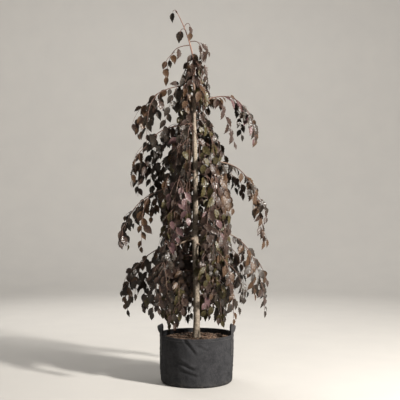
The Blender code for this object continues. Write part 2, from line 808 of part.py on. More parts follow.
def make_mass(arch, twigs, crown):
    """A mass of foliage: its twigs and all the leaves that find room, fused."""
    crown.start_mass(arch.name)
    draw = random.Random(arch.name + " leaves")
    pieces = []
    filled = []

    def is_free(places, siblings):
        """Whether a leaf finds room among its mass, the other masses and the limbs."""
        near = filled + [place for leaf in siblings for place in leaf.samples()]
        return crown.is_free(arch, places) and far_from(places, near)

    for twig in twigs:
        pieces.append(twig.build(trunk_radius(arch.height)))
        leaves = leaves_along(twig, draw, is_free)
        pieces += [leaf.build() for leaf in leaves]
        filled += [place for leaf in leaves for place in leaf.samples()]
    crown.filled[arch.name] += filled
    return fuse("foliage_" + arch.name, pieces)


def fuse(name, pieces):
    """Join the pieces of a mass into one closed solid."""
    parts = [add_object(name + "_piece", bm, "copper leaf") for bm in pieces]
    body = parts[0]
    group = bpy.data.collections.new(name + "_pieces")
    bpy.context.scene.collection.children.link(group)
    for part in parts[1:]:
        group.objects.link(part)
    join = body.modifiers.new("join", "BOOLEAN")
    join.operation = "UNION"
    join.operand_type = "COLLECTION"
    join.collection = group
    join.solver = "EXACT"
    bpy.context.view_layer.update()
    fused = body.evaluated_get(bpy.context.evaluated_depsgraph_get()).to_mesh()
    bm = bmesh.new()
    bm.from_mesh(fused)
    for part in parts:
        bpy.data.objects.remove(part, do_unlink=True)
    bpy.data.collections.remove(group)
    drop_scraps(bm)
    return add_object(name, bm, "copper leaf")


def drop_scraps(bm):
    """Keep the largest body of a fused mesh, without loose scraps or sealed hollows."""
    unseen = set(bm.verts)
    bodies = []
    while unseen:
        body = {unseen.pop()}
        edge = list(body)
        while edge:
            vert = edge.pop()
            for link in vert.link_edges:
                other = link.other_vert(vert)
                if other in unseen:
                    unseen.remove(other)
                    body.add(other)
                    edge.append(other)
        bodies.append(body)
    bodies.sort(key=len)
    scraps = [vert for body in bodies[:-1] for vert in body]
    bmesh.ops.delete(bm, geom=scraps, context="VERTS")


def curtain_arches():
    """The curtains of every ring, each set a little lower than the one before."""
    arches = []
    for name, height, reach, lift, drop, shoots, length, ways in CURTAIN_RINGS:
        for index, azimuth in enumerate(ways):
            arches.append(Arch(f"{name}_{index + 1}", height - index * RING_STAGGER, azimuth,
                               reach, lift, drop, 0.0, shoots, length,
                               CURTAIN_HALF_ANGLE))
    return arches


def main():
    """Build the bag, its handles and compost, then the tree that stands in it."""
    clear_scene()
    make_bag()
    make_compost()
    make_handle("handle_right", 1.0)
    make_handle("handle_left", -1.0)
    make_trunk()
    trunk_points = list(zip(STATION_X, STATION_Y, STATIONS))
    limbs = [(trunk_points, STATION_RADII)]
    for arch in OUTER_ARCHES:
        make_bough(arch)
        limbs.append(bough_line(arch))
    crown = Crown(limbs)
    arches = LEADER_ARCHES + OUTER_ARCHES + tuple(curtain_arches())
    twigs = {arch: lay_twigs(arch, crown) for arch in arches}
    for arch in arches:
        make_mass(arch, twigs[arch], crown)


main()
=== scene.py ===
"""A weeping copper beech in a black fabric grow bag, dressed for its portrait.

Metres, +Z up. The plant stands on the origin, its front faces -Y and its right side is +X.

The crown grows by the rule of the solid model: arches leave the trunk, crest and hang,
and let shoots hang from them. Here the rule goes on to finer twigs, and every twig
carries leaves of real size in two ranks, on their stalks, with buds between.
"""

import logging
import random
from collections.abc import Callable, Iterable, Iterator, Sequence
from contextlib import contextmanager
from dataclasses import dataclass, field
from enum import Enum
from math import ceil, cos, exp, hypot, pi, radians, sin, sqrt, tau

import bpy
import numpy as np
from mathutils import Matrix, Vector, kdtree, noise


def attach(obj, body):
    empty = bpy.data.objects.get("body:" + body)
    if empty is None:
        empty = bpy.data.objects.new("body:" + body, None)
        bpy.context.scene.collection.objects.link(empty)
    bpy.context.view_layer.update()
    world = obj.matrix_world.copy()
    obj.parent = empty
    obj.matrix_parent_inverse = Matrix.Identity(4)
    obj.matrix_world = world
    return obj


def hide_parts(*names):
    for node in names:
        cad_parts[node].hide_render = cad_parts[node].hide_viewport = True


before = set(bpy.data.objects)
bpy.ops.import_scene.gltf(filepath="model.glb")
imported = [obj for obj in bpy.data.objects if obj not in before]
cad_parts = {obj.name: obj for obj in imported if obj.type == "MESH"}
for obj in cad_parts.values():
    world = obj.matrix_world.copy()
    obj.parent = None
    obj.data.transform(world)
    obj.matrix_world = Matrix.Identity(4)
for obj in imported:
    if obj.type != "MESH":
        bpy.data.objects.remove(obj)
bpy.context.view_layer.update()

LOG = logging.getLogger("copper_beech")
BODY = "root"
UP = Vector((0.0, 0.0, 1.0))
DOWN = -UP
GAP = 0.0003

Colour = tuple[float, float, float, float]
Place = tuple[float, float, float]
Piece = bpy.types.Object
Material = bpy.types.Material
Socket = bpy.types.NodeSocket
Array = np.ndarray
Shape = tuple[Array, Array]


class Slot(Enum):
    """Names of material slots."""

    FELT = "felt"
    WEBBING = "webbing"
    COMPOST = "compost"
    BARK = "bark"
    BOUGH_BARK = "bough_bark"
    COPPER_LEAF = "copper_leaf"


class LeafTone(Enum):
    """The colours that the sprays of leaves come in."""

    DUSK = "dusk"
    PLUM = "plum"
    COPPER = "copper"
    # Painted light: the olive bronze stands for sunlight shining through leaves.
    BRONZE = "bronze"
    # Painted highlight: the pale rose stands for lit, glossy leaves.
    ROSE = "rose"


# Modelling helpers


def focus(obj: Piece) -> None:
    """Make an object the only selected one.

    Args:
        obj: The object to work on.
    """
    bpy.ops.object.select_all(action="DESELECT")
    obj.select_set(True)
    bpy.context.view_layer.objects.active = obj


@contextmanager
def editing(obj: Piece, whole: bool = True) -> Iterator[None]:
    """Work on an object in edit mode.

    Args:
        obj: The object to edit.
        whole: Whether all of it is selected first.
    """
    focus(obj)
    bpy.ops.object.mode_set(mode="EDIT")
    if whole:
        bpy.ops.mesh.select_all(action="SELECT")
    yield
    bpy.ops.object.mode_set(mode="OBJECT")


def started(name: str, add: Callable[..., object], **settings: object) -> Piece:
    """Add a primitive as a named object, with its place taken into its mesh.

    Args:
        name: The new object's name.
        add: The operator that adds the primitive.
        **settings: The operator's settings.

    Returns:
        The new object.
    """
    bpy.ops.object.select_all(action="DESELECT")
    add(**settings)
    obj = bpy.context.object
    obj.name = name
    obj.data.name = name
    bpy.ops.object.transform_apply(location=True, rotation=True, scale=True)
    return obj


def extrude_rings(ring: tuple[float, float], rings: Iterable[tuple[float, float]]) -> float:
    """Extrude the selected ring up through others, in edit mode.

    Args:
        ring: The radius and height of the ring that is there.
        rings: The radius and height of each new one.

    Returns:
        The last ring's radius.
    """
    for radius, height in rings:
        rise = (0.0, 0.0, height - ring[1])
        bpy.ops.mesh.extrude_region_move(TRANSFORM_OT_translate={"value": rise})
        grow = radius / ring[0]
        bpy.ops.transform.resize(value=(grow, grow, 1.0), center_override=(0.0, 0.0, height))
        ring = (radius, height)
    return ring[0]


def quarter_round(radius: float, round_radius: float, steps: int) -> list[tuple[float, float]]:
    """Radii and heights of rings that turn from a floor up into a wall."""
    turns = [pi / 2 * step / steps for step in range(1, steps + 1)]
    return [(radius + round_radius * sin(turn), round_radius * (1.0 - cos(turn)))
            for turn in turns]


def apply_modifiers(obj: Piece) -> None:
    """Apply an object's modifiers in order.

    Args:
        obj: The object whose modifiers become mesh.
    """
    focus(obj)
    for name in [modifier.name for modifier in obj.modifiers]:
        bpy.ops.object.modifier_apply(modifier=name)


def points_of(obj: Piece) -> Array:
    """Places of an object's vertices.

    Args:
        obj: A mesh object.

    Returns:
        One row of x, y and z for each vertex.
    """
    points = np.empty(len(obj.data.vertices) * 3)
    obj.data.vertices.foreach_get("co", points)
    return points.reshape(-1, 3)


def move_points(obj: Piece, points: Array) -> None:
    """Put an object's vertices at new places, one row for each."""
    obj.data.vertices.foreach_set("co", np.asarray(points, dtype=np.float32).ravel())
    obj.data.update()


def face_outwards(obj: Piece) -> None:
    """Merge doubles and turn every face outwards.

    Args:
        obj: A closed mesh object.
    """
    with editing(obj):
        bpy.ops.mesh.remove_doubles(threshold=1e-6)
        bpy.ops.mesh.normals_make_consistent(inside=False)


def smooth(obj: Piece, angle: float) -> None:
    """Shade an object smooth up to an angle in degrees."""
    focus(obj)
    bpy.ops.object.shade_smooth_by_angle(angle=radians(angle))


def joined(name: str, shapes: Sequence[Shape], angle: float) -> Piece:
    """Make one object of many small shapes.

    Args:
        name: The new object's name.
        shapes: Each shape's vertices and its rows of vertex numbers.
        angle: The widest angle that is shaded smooth, in degrees.

    Returns:
        The new object, linked to the scene.
    """
    starts = np.cumsum([0] + [len(points) for points, _ in shapes])
    points = np.concatenate([points for points, _ in shapes])
    faces = np.concatenate([rows + start for (_, rows), start in zip(shapes, starts)])
    mesh = bpy.data.meshes.new(name)
    mesh.from_pydata(points.tolist(), [], faces.tolist())
    mesh.update()
    obj = bpy.data.objects.new(name, mesh)
    bpy.context.scene.collection.objects.link(obj)
    smooth(obj, angle)
    return obj


def dress(obj: Piece, material: Material,
          nodes: Sequence[str] = ()) -> None:
    """Give a finished piece its material, tie it to the frame and report it.

    Args:
        obj: The finished piece.
        material: The material of its whole surface.
        nodes: The solids that it stands for.
    """
    obj.data.materials.clear()
    obj.data.materials.append(material)
    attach(obj, BODY)
    if nodes:
        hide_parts(*nodes)
    LOG.info("%s: %d faces", obj.name, len(obj.data.polygons))


def wander(draw: random.Random) -> Vector:
    """A step any way, from -1 to 1 on each axis."""
    return Vector([draw.uniform(-1.0, 1.0) for _ in range(3)])


# Shading helpers


class Shading:
    """A node tree, with short ways to add the nodes that the finishes are made of.

    Every value that a node is given may be plain or another node's output.
    """

    def __init__(self, tree: bpy.types.NodeTree) -> None:
        """Start on the tree of a material or a group."""
        self.tree = tree

    def node(self, kind: str, inputs: dict[str | int, object] | None = None,
             **settings: object) -> bpy.types.Node:
        """Add a node.

        Args:
            kind: The node's type name.
            inputs: A value for each of some inputs.
            **settings: The node's own settings.

        Returns:
            The new node.
        """
        made = self.tree.nodes.new(kind)
        for name, value in settings.items():
            setattr(made, name, value)
        for name, value in (inputs or {}).items():
            self.feed(made.inputs[name], value)
        return made

    def feed(self, socket: Socket, value: object) -> None:
        """Set or link an input.

        Args:
            socket: The input.
            value: Its value, or None to leave it as it is.
        """
        if isinstance(value, Socket):
            self.tree.links.new(value, socket)
        elif value is not None:
            socket.default_value = value

    def math(self, operation: str, first: object, second: object = 0.0) -> Socket:
        """The result of an operation on one or two values."""
        return self.node("ShaderNodeMath", {0: first, 1: second}, operation=operation).outputs[0]

    def times(self, first: object, second: object) -> Socket:
        """The product of two values."""
        return self.math("MULTIPLY", first, second)

    def plus(self, first: object, second: object) -> Socket:
        """The sum of two values."""
        return self.math("ADD", first, second)

    def part(self, vector: object, axis: int) -> Socket:
        """One coordinate of a place or a way."""
        return self.node("ShaderNodeSeparateXYZ", {0: vector}).outputs[axis]

    def noise(self, vector: object, scale: object, detail: float = 4.0,
              roughness: float = 0.5) -> Socket:
        """Noise from 0 to 1, in waves to the metre and octaves."""
        inputs = {"Vector": vector, "Scale": scale, "Detail": detail, "Roughness": roughness}
        return self.node("ShaderNodeTexNoise", inputs).outputs["Fac"]

    def ramp(self, value: object, low: object, high: object, start: object = 0.0,
             end: object = 1.0) -> Socket:
        """A smooth step from start to end, between a low and a high level of a value."""
        inputs = {0: value, 1: low, 2: high, 3: start, 4: end}
        return self.node("ShaderNodeMapRange", inputs, interpolation_type="SMOOTHSTEP").outputs[0]

    def blend(self, share: object, first: object, second: object) -> Socket:
        """A mix of two colours, by the second one's share."""
        inputs = {0: share, 6: first, 7: second}
        return self.node("ShaderNodeMix", inputs, data_type="RGBA").outputs[2]

    def stretched(self, vector: object, scale: Place) -> Socket:
        """Coordinates with a scale of their own on each axis."""
        return self.node("ShaderNodeMapping", {"Vector": vector, "Scale": scale}).outputs[0]

    def bump(self, height: object, distance: float, strength: float = 1.0,
             normal: object = None) -> Socket:
        """A normal that shows a share of a relief of some depth, on another normal."""
        inputs = {"Height": height, "Distance": distance, "Strength": strength, "Normal": normal}
        return self.node("ShaderNodeBump", inputs).outputs[0]

    def effect(self, group: bpy.types.NodeTree, place: object,
               **setting: float) -> Sequence[Socket]:
        """Place a shared effect, and give its results by name."""
        return self.node("ShaderNodeGroup", {"Vector": place, **setting}, node_tree=group).outputs


class Paint(Shading):
    """The node tree of a new material, with the piece's own coordinates in metres."""

    def __init__(self, name: str) -> None:
        """Start the material.

        Args:
            name: Its name.
        """
        self.material = bpy.data.materials.new(name)
        self.material.use_nodes = True
        super().__init__(self.material.node_tree)
        self.place = self.node("ShaderNodeTexCoord").outputs["Object"]

    def finish(self, colour: object, roughness: object, normal: object = None,
               specular: float = 0.5) -> Material:
        """Feed the main shader.

        Args:
            colour: The base colour.
            roughness: How rough the surface is.
            normal: The normal that shows its relief.
            specular: The level of its mirror light.

        Returns:
            The material.
        """
        shader = self.tree.nodes["Principled BSDF"]
        for name, value in (("Base Color", colour), ("Roughness", roughness),
                            ("Normal", normal), ("Specular IOR Level", specular)):
            self.feed(shader.inputs[name], value)
        return self.material


class EffectGroups:
    """The effects that several finishes share, each one a group that is built once.

    Each reads a place and one setting, and gives values from 0 to 1.
    """

    def __init__(self) -> None:
        """Build every group."""
        self.mottle = self.make_mottle()
        self.fibres = self.make_fibres()
        self.dust = self.make_dust()
        self.veins = self.make_veins()
        self.lenticels = self.make_lenticels()

    @staticmethod
    def begin(name: str, setting: str, plain: float, *results: str
              ) -> tuple[Shading, Socket, Socket, bpy.types.Node]:
        """Start a group.

        Args:
            name: The group's name.
            setting: The name of its setting.
            plain: The setting's value if none is given.
            *results: The names of what it gives.

        Returns:
            Its tree, the place and the setting that it reads, and its output node.
        """
        tree = bpy.data.node_groups.new(name, "ShaderNodeTree")
        tree.interface.new_socket("Vector", in_out="INPUT", socket_type="NodeSocketVector")
        socket = tree.interface.new_socket(setting, in_out="INPUT", socket_type="NodeSocketFloat")
        socket.default_value = plain
        for result in results:
            tree.interface.new_socket(result, in_out="OUTPUT", socket_type="NodeSocketFloat")
        nodes = Shading(tree)
        given = nodes.node("NodeGroupInput").outputs
        return nodes, given[0], given[1], nodes.node("NodeGroupOutput")

    def make_mottle(self) -> bpy.types.NodeTree:
        """Soft blotches in two sizes, for bark, leaves, felt and compost.

        Returns:
            The group.
        """
        nodes, place, scale, result = self.begin("mottle", "Scale", 10.0, "Mask")
        large = nodes.noise(place, scale, 2.0)
        fine = nodes.noise(place, nodes.times(scale, 6.0), 3.0)
        both = nodes.plus(nodes.times(large, 0.7), nodes.times(fine, 0.3))
        nodes.feed(result.inputs["Mask"], nodes.ramp(both, 0.34, 0.66))
        return nodes.tree

    def make_fibres(self) -> bpy.types.NodeTree:
        """Crossed short fibres, for felt, webbing and thread.

        Returns:
            The group.
        """
        nodes, place, scale, result = self.begin("fibres", "Scale", 400.0, "Height", "Shade")
        standing = nodes.noise(nodes.stretched(place, (0.3, 0.3, 1.0)), scale, 3.0, 0.6)
        lying = nodes.noise(nodes.stretched(place, (1.0, 1.0, 0.22)), scale, 3.0, 0.6)
        height = nodes.math("MAXIMUM", standing, lying)
        nodes.feed(result.inputs["Height"], height)
        nodes.feed(result.inputs["Shade"], nodes.ramp(height, 0.42, 0.74))
        return nodes.tree

    def make_dust(self) -> bpy.types.NodeTree:
        """Pale dust on what faces up and near the ground, for the bag and its handles.

        Returns:
            The group.
        """
        nodes, place, level, result = self.begin("dust", "Level", 0.05, "Mask")
        upward = nodes.part(nodes.node("ShaderNodeNewGeometry").outputs["Normal"], 2)
        low = nodes.ramp(nodes.part(place, 2), 0.0, level, 0.8, 0.0)
        where = nodes.math("MAXIMUM", low, nodes.ramp(upward, 0.35, 1.0, 0.0, 0.7))
        patches = nodes.ramp(nodes.noise(place, 38.0, 5.0, 0.65), 0.45, 0.72)
        nodes.feed(result.inputs["Mask"], nodes.times(where, patches))
        return nodes.tree

    def make_veins(self) -> bpy.types.NodeTree:
        """A midrib and slanting side veins over the leaf's own map, for every leaf tone.

        Returns:
            The group.
        """
        nodes, place, pairs, result = self.begin("veins", "Pairs", 7.0, "Veins", "Height")
        across = nodes.math("ABSOLUTE", nodes.math("SUBTRACT", nodes.part(place, 0), 0.5))
        slant = nodes.math("SUBTRACT", nodes.part(place, 1), nodes.times(across, 0.42))
        wave = nodes.math("FRACT", nodes.times(slant, pairs))
        ridge = nodes.math("ABSOLUTE", nodes.math("SUBTRACT", wave, 0.5))
        side = nodes.ramp(ridge, 0.0, 0.11, 1.0, 0.0)
        midrib = nodes.ramp(across, 0.008, 0.035, 1.0, 0.0)
        nodes.feed(result.inputs["Veins"], nodes.math("MAXIMUM", nodes.times(side, 0.6), midrib))
        nodes.feed(result.inputs["Height"], nodes.ramp(ridge, 0.0, 0.5))
        return nodes.tree

    def make_lenticels(self) -> bpy.types.NodeTree:
        """Short level marks and fine rings, for the trunk, the boughs and the twigs.

        Returns:
            The group.
        """
        nodes, place, scale, result = self.begin("lenticels", "Scale", 120.0, "Marks", "Rings")
        marks = nodes.noise(nodes.stretched(place, (1.0, 1.0, 3.4)), scale, 2.0, 0.4)
        rings = nodes.noise(nodes.stretched(place, (0.35, 0.35, 7.0)), scale, 3.0, 0.55)
        nodes.feed(result.inputs["Marks"], nodes.ramp(marks, 0.60, 0.70))
        nodes.feed(result.inputs["Rings"], rings)
        return nodes.tree


# Finishes


def rgb(red: float, green: float, blue: float) -> Colour:
    """A plain colour in linear light."""
    return (red, green, blue, 1.0)


@dataclass(frozen=True)
class FeltFinish:
    """Needled black felt: fuzzy, mottled, and dusty near the ground."""

    colour: Colour = rgb(0.0130, 0.0136, 0.0156)
    worn: Colour = rgb(0.0500, 0.0498, 0.0540)
    dust: Colour = rgb(0.1450, 0.1250, 0.1000)
    dust_level: float = 0.045
    fuzz: float = 520.0
    roughness: float = 0.92
    specular: float = 0.15

    def material(self, effects: EffectGroups) -> Material:
        """Build the felt.

        Args:
            effects: The shared groups.

        Returns:
            The material.
        """
        paint = Paint("grow_bag_felt")
        fibres = paint.effect(effects.fibres, paint.place, Scale=self.fuzz)
        mottle = paint.effect(effects.mottle, paint.place, Scale=24.0)
        dust = paint.effect(effects.dust, paint.place, Level=self.dust_level)
        worn = paint.plus(paint.times(fibres["Shade"], 0.55), paint.times(mottle["Mask"], 0.35))
        colour = paint.blend(worn, self.colour, self.worn)
        colour = paint.blend(paint.times(dust["Mask"], 0.45), colour, self.dust)
        roughness = paint.ramp(fibres["Height"], 0.3, 0.8, self.roughness, 0.78)
        crinkle = paint.bump(paint.noise(paint.place, 60.0, 5.0, 0.6), 0.0035, 0.55)
        relief = paint.bump(fibres["Height"], 0.0010, 0.6, crinkle)
        return paint.finish(colour, roughness, relief, self.specular)


@dataclass(frozen=True)
class WebbingFinish:
    """Woven black webbing: ribs across the strap, and rows of warps along it."""

    colour: Colour = rgb(0.0120, 0.0120, 0.0140)
    crown: Colour = rgb(0.0420, 0.0420, 0.0450)
    dust: Colour = rgb(0.110, 0.098, 0.085)
    ribs: float = 210.0
    warps: float = 11.0

    def material(self, effects: EffectGroups) -> Material:
        """Build the webbing over the strap's own map.

        Args:
            effects: The shared groups.

        Returns:
            The material.
        """
        paint = Paint("handle_webbing")
        strap = paint.node("ShaderNodeUVMap", uv_map="strap").outputs[0]
        across = paint.times(paint.part(strap, 0), self.warps * tau)
        along = paint.times(paint.part(strap, 1), self.ribs * tau)
        warp = paint.math("ABSOLUTE", paint.math("SINE", across))
        turned = paint.math("SINE", paint.plus(along, paint.times(across, 0.5)))
        weave = paint.times(warp, paint.ramp(turned, -1.0, 1.0, 0.35, 1.0))
        fibres = paint.effect(effects.fibres, paint.place, Scale=700.0)
        dust = paint.effect(effects.dust, paint.place, Level=0.04)
        shade = paint.plus(paint.times(weave, 0.6), paint.times(fibres["Shade"], 0.3))
        colour = paint.blend(shade, self.colour, self.crown)
        colour = paint.blend(paint.times(dust["Mask"], 0.35), colour, self.dust)
        relief = paint.bump(fibres["Height"], 0.0003, 0.5, paint.bump(weave, 0.0012, 0.8))
        return paint.finish(colour, paint.ramp(weave, 0.0, 1.0, 0.90, 0.66), relief)


@dataclass(frozen=True)
class ThreadFinish:
    """Charcoal sewing thread, a little lighter than the felt."""

    colour: Colour = rgb(0.050, 0.049, 0.050)
    lit: Colour = rgb(0.105, 0.102, 0.100)

    def material(self, effects: EffectGroups) -> Material:
        """Build the thread.

        Args:
            effects: The shared groups.

        Returns:
            The material.
        """
        paint = Paint("seam_thread")
        fibres = paint.effect(effects.fibres, paint.place, Scale=1500.0)
        colour = paint.blend(fibres["Shade"], self.colour, self.lit)
        roughness = paint.ramp(fibres["Height"], 0.3, 0.7, 0.75, 0.50)
        return paint.finish(colour, roughness, paint.bump(fibres["Height"], 0.0003, 0.6))


@dataclass(frozen=True)
class EarthFinish:
    """Compost or bark mulch: crumbly, mottled and matt."""

    name: str
    dark: Colour
    light: Colour
    grain: float = 420.0
    depth: float = 0.0010

    def material(self, effects: EffectGroups) -> Material:
        """Build the earth.

        Args:
            effects: The shared groups.

        Returns:
            The material.
        """
        paint = Paint(self.name)
        mottle = paint.effect(effects.mottle, paint.place, Scale=self.grain / 6.0)
        grain = paint.noise(paint.place, self.grain, 6.0, 0.7)
        shade = paint.times(mottle["Mask"], paint.ramp(grain, 0.35, 0.68))
        colour = paint.blend(shade, self.dark, self.light)
        roughness = paint.ramp(grain, 0.3, 0.7, 0.96, 0.80)
        return paint.finish(colour, roughness, paint.bump(grain, self.depth, 0.9))


COMPOST_FINISH = EarthFinish("compost_crumb", rgb(0.018, 0.011, 0.007), rgb(0.075, 0.045, 0.028),
                             260.0, 0.0030)
MULCH_FINISHES = (
    EarthFinish("mulch_dark", rgb(0.030, 0.018, 0.012), rgb(0.100, 0.060, 0.040)),
    EarthFinish("mulch_brown", rgb(0.070, 0.036, 0.022), rgb(0.200, 0.115, 0.072)),
    EarthFinish("mulch_pale", rgb(0.140, 0.090, 0.060), rgb(0.340, 0.240, 0.170)),
)


@dataclass(frozen=True)
class BarkFinish:
    """Smooth beech bark that turns from grey wood to red-brown young wood higher up."""

    name: str
    old: Colour = rgb(0.130, 0.098, 0.072)
    pale: Colour = rgb(0.400, 0.345, 0.285)
    green: Colour = rgb(0.095, 0.078, 0.045)
    young: Colour = rgb(0.200, 0.105, 0.075)
    mark: Colour = rgb(0.460, 0.390, 0.300)
    young_low: float = 1.75
    young_high: float = 2.25
    marks: float = 120.0

    def material(self, effects: EffectGroups) -> Material:
        """Build the bark.

        Args:
            effects: The shared groups.

        Returns:
            The material.
        """
        paint = Paint(self.name)
        broad = paint.effect(effects.mottle, paint.place, Scale=14.0)["Mask"]
        fine = paint.effect(effects.mottle, paint.place, Scale=75.0)["Mask"]
        skin = paint.effect(effects.lenticels, paint.place, Scale=self.marks)
        aged = paint.ramp(paint.part(paint.place, 2), self.young_low, self.young_high)
        colour = paint.blend(paint.times(fine, 0.75), self.old, self.pale)
        colour = paint.blend(paint.times(broad, 0.45), colour, self.green)
        colour = paint.blend(aged, colour, self.young)
        colour = paint.blend(paint.times(skin["Marks"], 0.55), colour, self.mark)
        rings = paint.bump(skin["Rings"], 0.0016, 0.5)
        relief = paint.bump(skin["Marks"], 0.0009, 0.7, rings)
        return paint.finish(colour, paint.ramp(fine, 0.0, 1.0, 0.62, 0.82), relief)


TRUNK_BARK = BarkFinish("trunk_bark")
BOUGH_BARK = BarkFinish("bough_bark", old=rgb(0.150, 0.105, 0.075), pale=rgb(0.250, 0.190, 0.145),
                        green=rgb(0.095, 0.075, 0.045), young=rgb(0.160, 0.085, 0.065),
                        young_low=0.6, young_high=2.4, marks=220.0)
TWIG_BARK = BarkFinish("twig_bark", old=rgb(0.075, 0.036, 0.026), pale=rgb(0.130, 0.070, 0.050),
                       green=rgb(0.045, 0.027, 0.017), young=rgb(0.085, 0.040, 0.030),
                       young_low=0.3, young_high=2.5, marks=420.0)


@dataclass(frozen=True)
class LeafFinish:
    """A copper beech leaf in one tone, veined and glossy above and duller below."""

    tone: LeafTone
    above: Colour
    below: Colour
    gloss: float = 0.27
    gloss_below: float = 0.60
    specular: float = 0.42
    pairs: float = 7.0

    def side(self, effects: EffectGroups, name: str, colour: Colour,
             roughness: float) -> Material:
        """Build one side of the leaf over each blade's own map.

        Args:
            effects: The shared groups.
            name: The material's name.
            colour: The side's own plain colour.
            roughness: How rough it is between its veins.

        Returns:
            The material.
        """
        paint = Paint(name)
        blade = paint.node("ShaderNodeUVMap", uv_map="blade").outputs[0]
        veins = paint.effect(effects.veins, blade, Pairs=self.pairs)
        mottle = paint.effect(effects.mottle, paint.place, Scale=30.0)
        dull = paint.plus(paint.times(mottle["Mask"], 0.14), paint.times(veins["Veins"], 0.10))
        relief = paint.bump(veins["Height"], 0.0009, 0.8)
        return paint.finish(colour, paint.plus(dull, roughness), relief, self.specular)

    def materials(self, effects: EffectGroups) -> list[Material]:
        """Build both sides of the leaf.

        Args:
            effects: The shared groups.

        Returns:
            The upper side's material and the underside's.
        """
        name = "leaf_" + self.tone.value
        return [self.side(effects, name, self.above, self.gloss),
                self.side(effects, name + "_underside", self.below, self.gloss_below)]


LEAF_FINISHES = (
    LeafFinish(LeafTone.DUSK, rgb(0.0125, 0.0085, 0.0062), rgb(0.026, 0.017, 0.009)),
    LeafFinish(LeafTone.PLUM, rgb(0.0235, 0.0115, 0.0092), rgb(0.038, 0.022, 0.012)),
    LeafFinish(LeafTone.COPPER, rgb(0.0440, 0.0205, 0.0090), rgb(0.060, 0.032, 0.012)),
    # Painted light: bronze for leaves that the sun shines through, above and below.
    LeafFinish(LeafTone.BRONZE, rgb(0.0300, 0.0230, 0.0055), rgb(0.050, 0.039, 0.009)),
    # Painted highlight: a pale rose for lit, glossy leaves.
    LeafFinish(LeafTone.ROSE, rgb(0.0780, 0.0400, 0.0460), rgb(0.090, 0.052, 0.045), 0.24),
)


# Lines that limbs and twigs follow


def along_line(points: Sequence[Vector], distance: float) -> tuple[Vector, Vector]:
    """The point and the way at a distance along a line.

    Args:
        points: The line.
        distance: Metres from its start.

    Returns:
        The point there, and the way on.
    """
    for before, after in zip(points, points[1:]):
        stretch = (after - before).length
        if distance <= stretch:
            return before.lerp(after, distance / stretch), (after - before).normalized()
        distance -= stretch
    return points[-1].copy(), (points[-1] - points[-2]).normalized()


def line_length(points: Sequence[Vector]) -> float:
    """Length of a line of points."""
    return sum((after - before).length for before, after in zip(points, points[1:]))


def line_samples(points: Sequence[Vector], step: float = 0.006) -> list[Vector]:
    """Close points along a line.

    Args:
        points: The line.
        step: The widest space between two of them.

    Returns:
        The points.
    """
    length = line_length(points)
    count = max(2, ceil(length / step))
    return [along_line(points, length * index / count)[0] for index in range(count + 1)]


def rounded_line(points: Sequence[Vector], spacing: float) -> list[Vector]:
    """A smooth curve through the points of a line.

    Args:
        points: The line's points.
        spacing: The space between the new points.

    Returns:
        Points along the curve.
    """
    made = []
    last = len(points) - 1
    for index in range(last):
        start, end = points[index], points[index + 1]
        lead_in = (end - points[max(index - 1, 0)]) / 2
        lead_out = (points[min(index + 2, last)] - start) / 2
        steps = max(1, round((end - start).length / spacing))
        for step in range(steps):
            share = step / steps
            square, cube = share * share, share ** 3
            made.append(start * (2 * cube - 3 * square + 1) + lead_in * (cube - 2 * square + share)
                        + end * (3 * square - 2 * cube) + lead_out * (cube - square))
    made.append(points[-1].copy())
    return made


def ways_along(line: Array) -> Array:
    """The way of a line at each of its points."""
    ways = np.gradient(line, axis=0)
    return ways / np.linalg.norm(ways, axis=1, keepdims=True)


def carried(spoke: Array, ways: Array) -> Array:
    """Carry a spoke along a line, always square to it and without a turn.

    Args:
        spoke: Any way across the line's start.
        ways: The line's way at each of its points.

    Returns:
        The spoke at each point.
    """
    spokes = []
    for way in ways:
        spoke = spoke - way * spoke.dot(way)
        spoke /= np.linalg.norm(spoke)
        spokes.append(spoke)
    return np.array(spokes)


def tube(points: Sequence[Vector], radii: Sequence[float], sides: int) -> Shape:
    """A tube along a line, open at both ends.

    Args:
        points: The line.
        radii: The tube's radius at each point.
        sides: Corners of each ring.

    Returns:
        The vertices, and quads of vertex numbers.
    """
    line = np.array(points)
    ways = ways_along(line)
    turns = tau * np.arange(sides) / sides
    aside = (0.0, 1.0, 0.0) if abs(ways[0][1]) < 0.8 else (1.0, 0.0, 0.0)
    spokes = carried(np.cross(ways[0], aside), ways)
    rings = [place + radius * (np.outer(np.cos(turns), spoke) + np.outer(np.sin(turns), across))
             for place, radius, spoke, across in zip(line, radii, spokes, np.cross(ways, spokes))]
    side = np.arange(sides)
    starts = (np.arange(len(line) - 1) * sides)[:, None]
    low, after = starts + side, starts + (side + 1) % sides
    walls = np.stack([low, after, after + sides, low + sides], axis=-1).reshape(-1, 4)
    return np.concatenate(rings), walls


def bar_quads(rings: int) -> Array:
    """Faces of a bar of four-cornered rings, closed at both ends.

    Args:
        rings: How many rings it has.

    Returns:
        Quads of vertex numbers.
    """
    quads = [(4 * ring + side, 4 * ring + (side + 1) % 4,
              4 * ring + 4 + (side + 1) % 4, 4 * ring + 4 + side)
             for ring in range(rings - 1) for side in range(4)]
    last = 4 * (rings - 1)
    return np.array(quads + [(3, 2, 1, 0), (last, last + 1, last + 2, last + 3)])


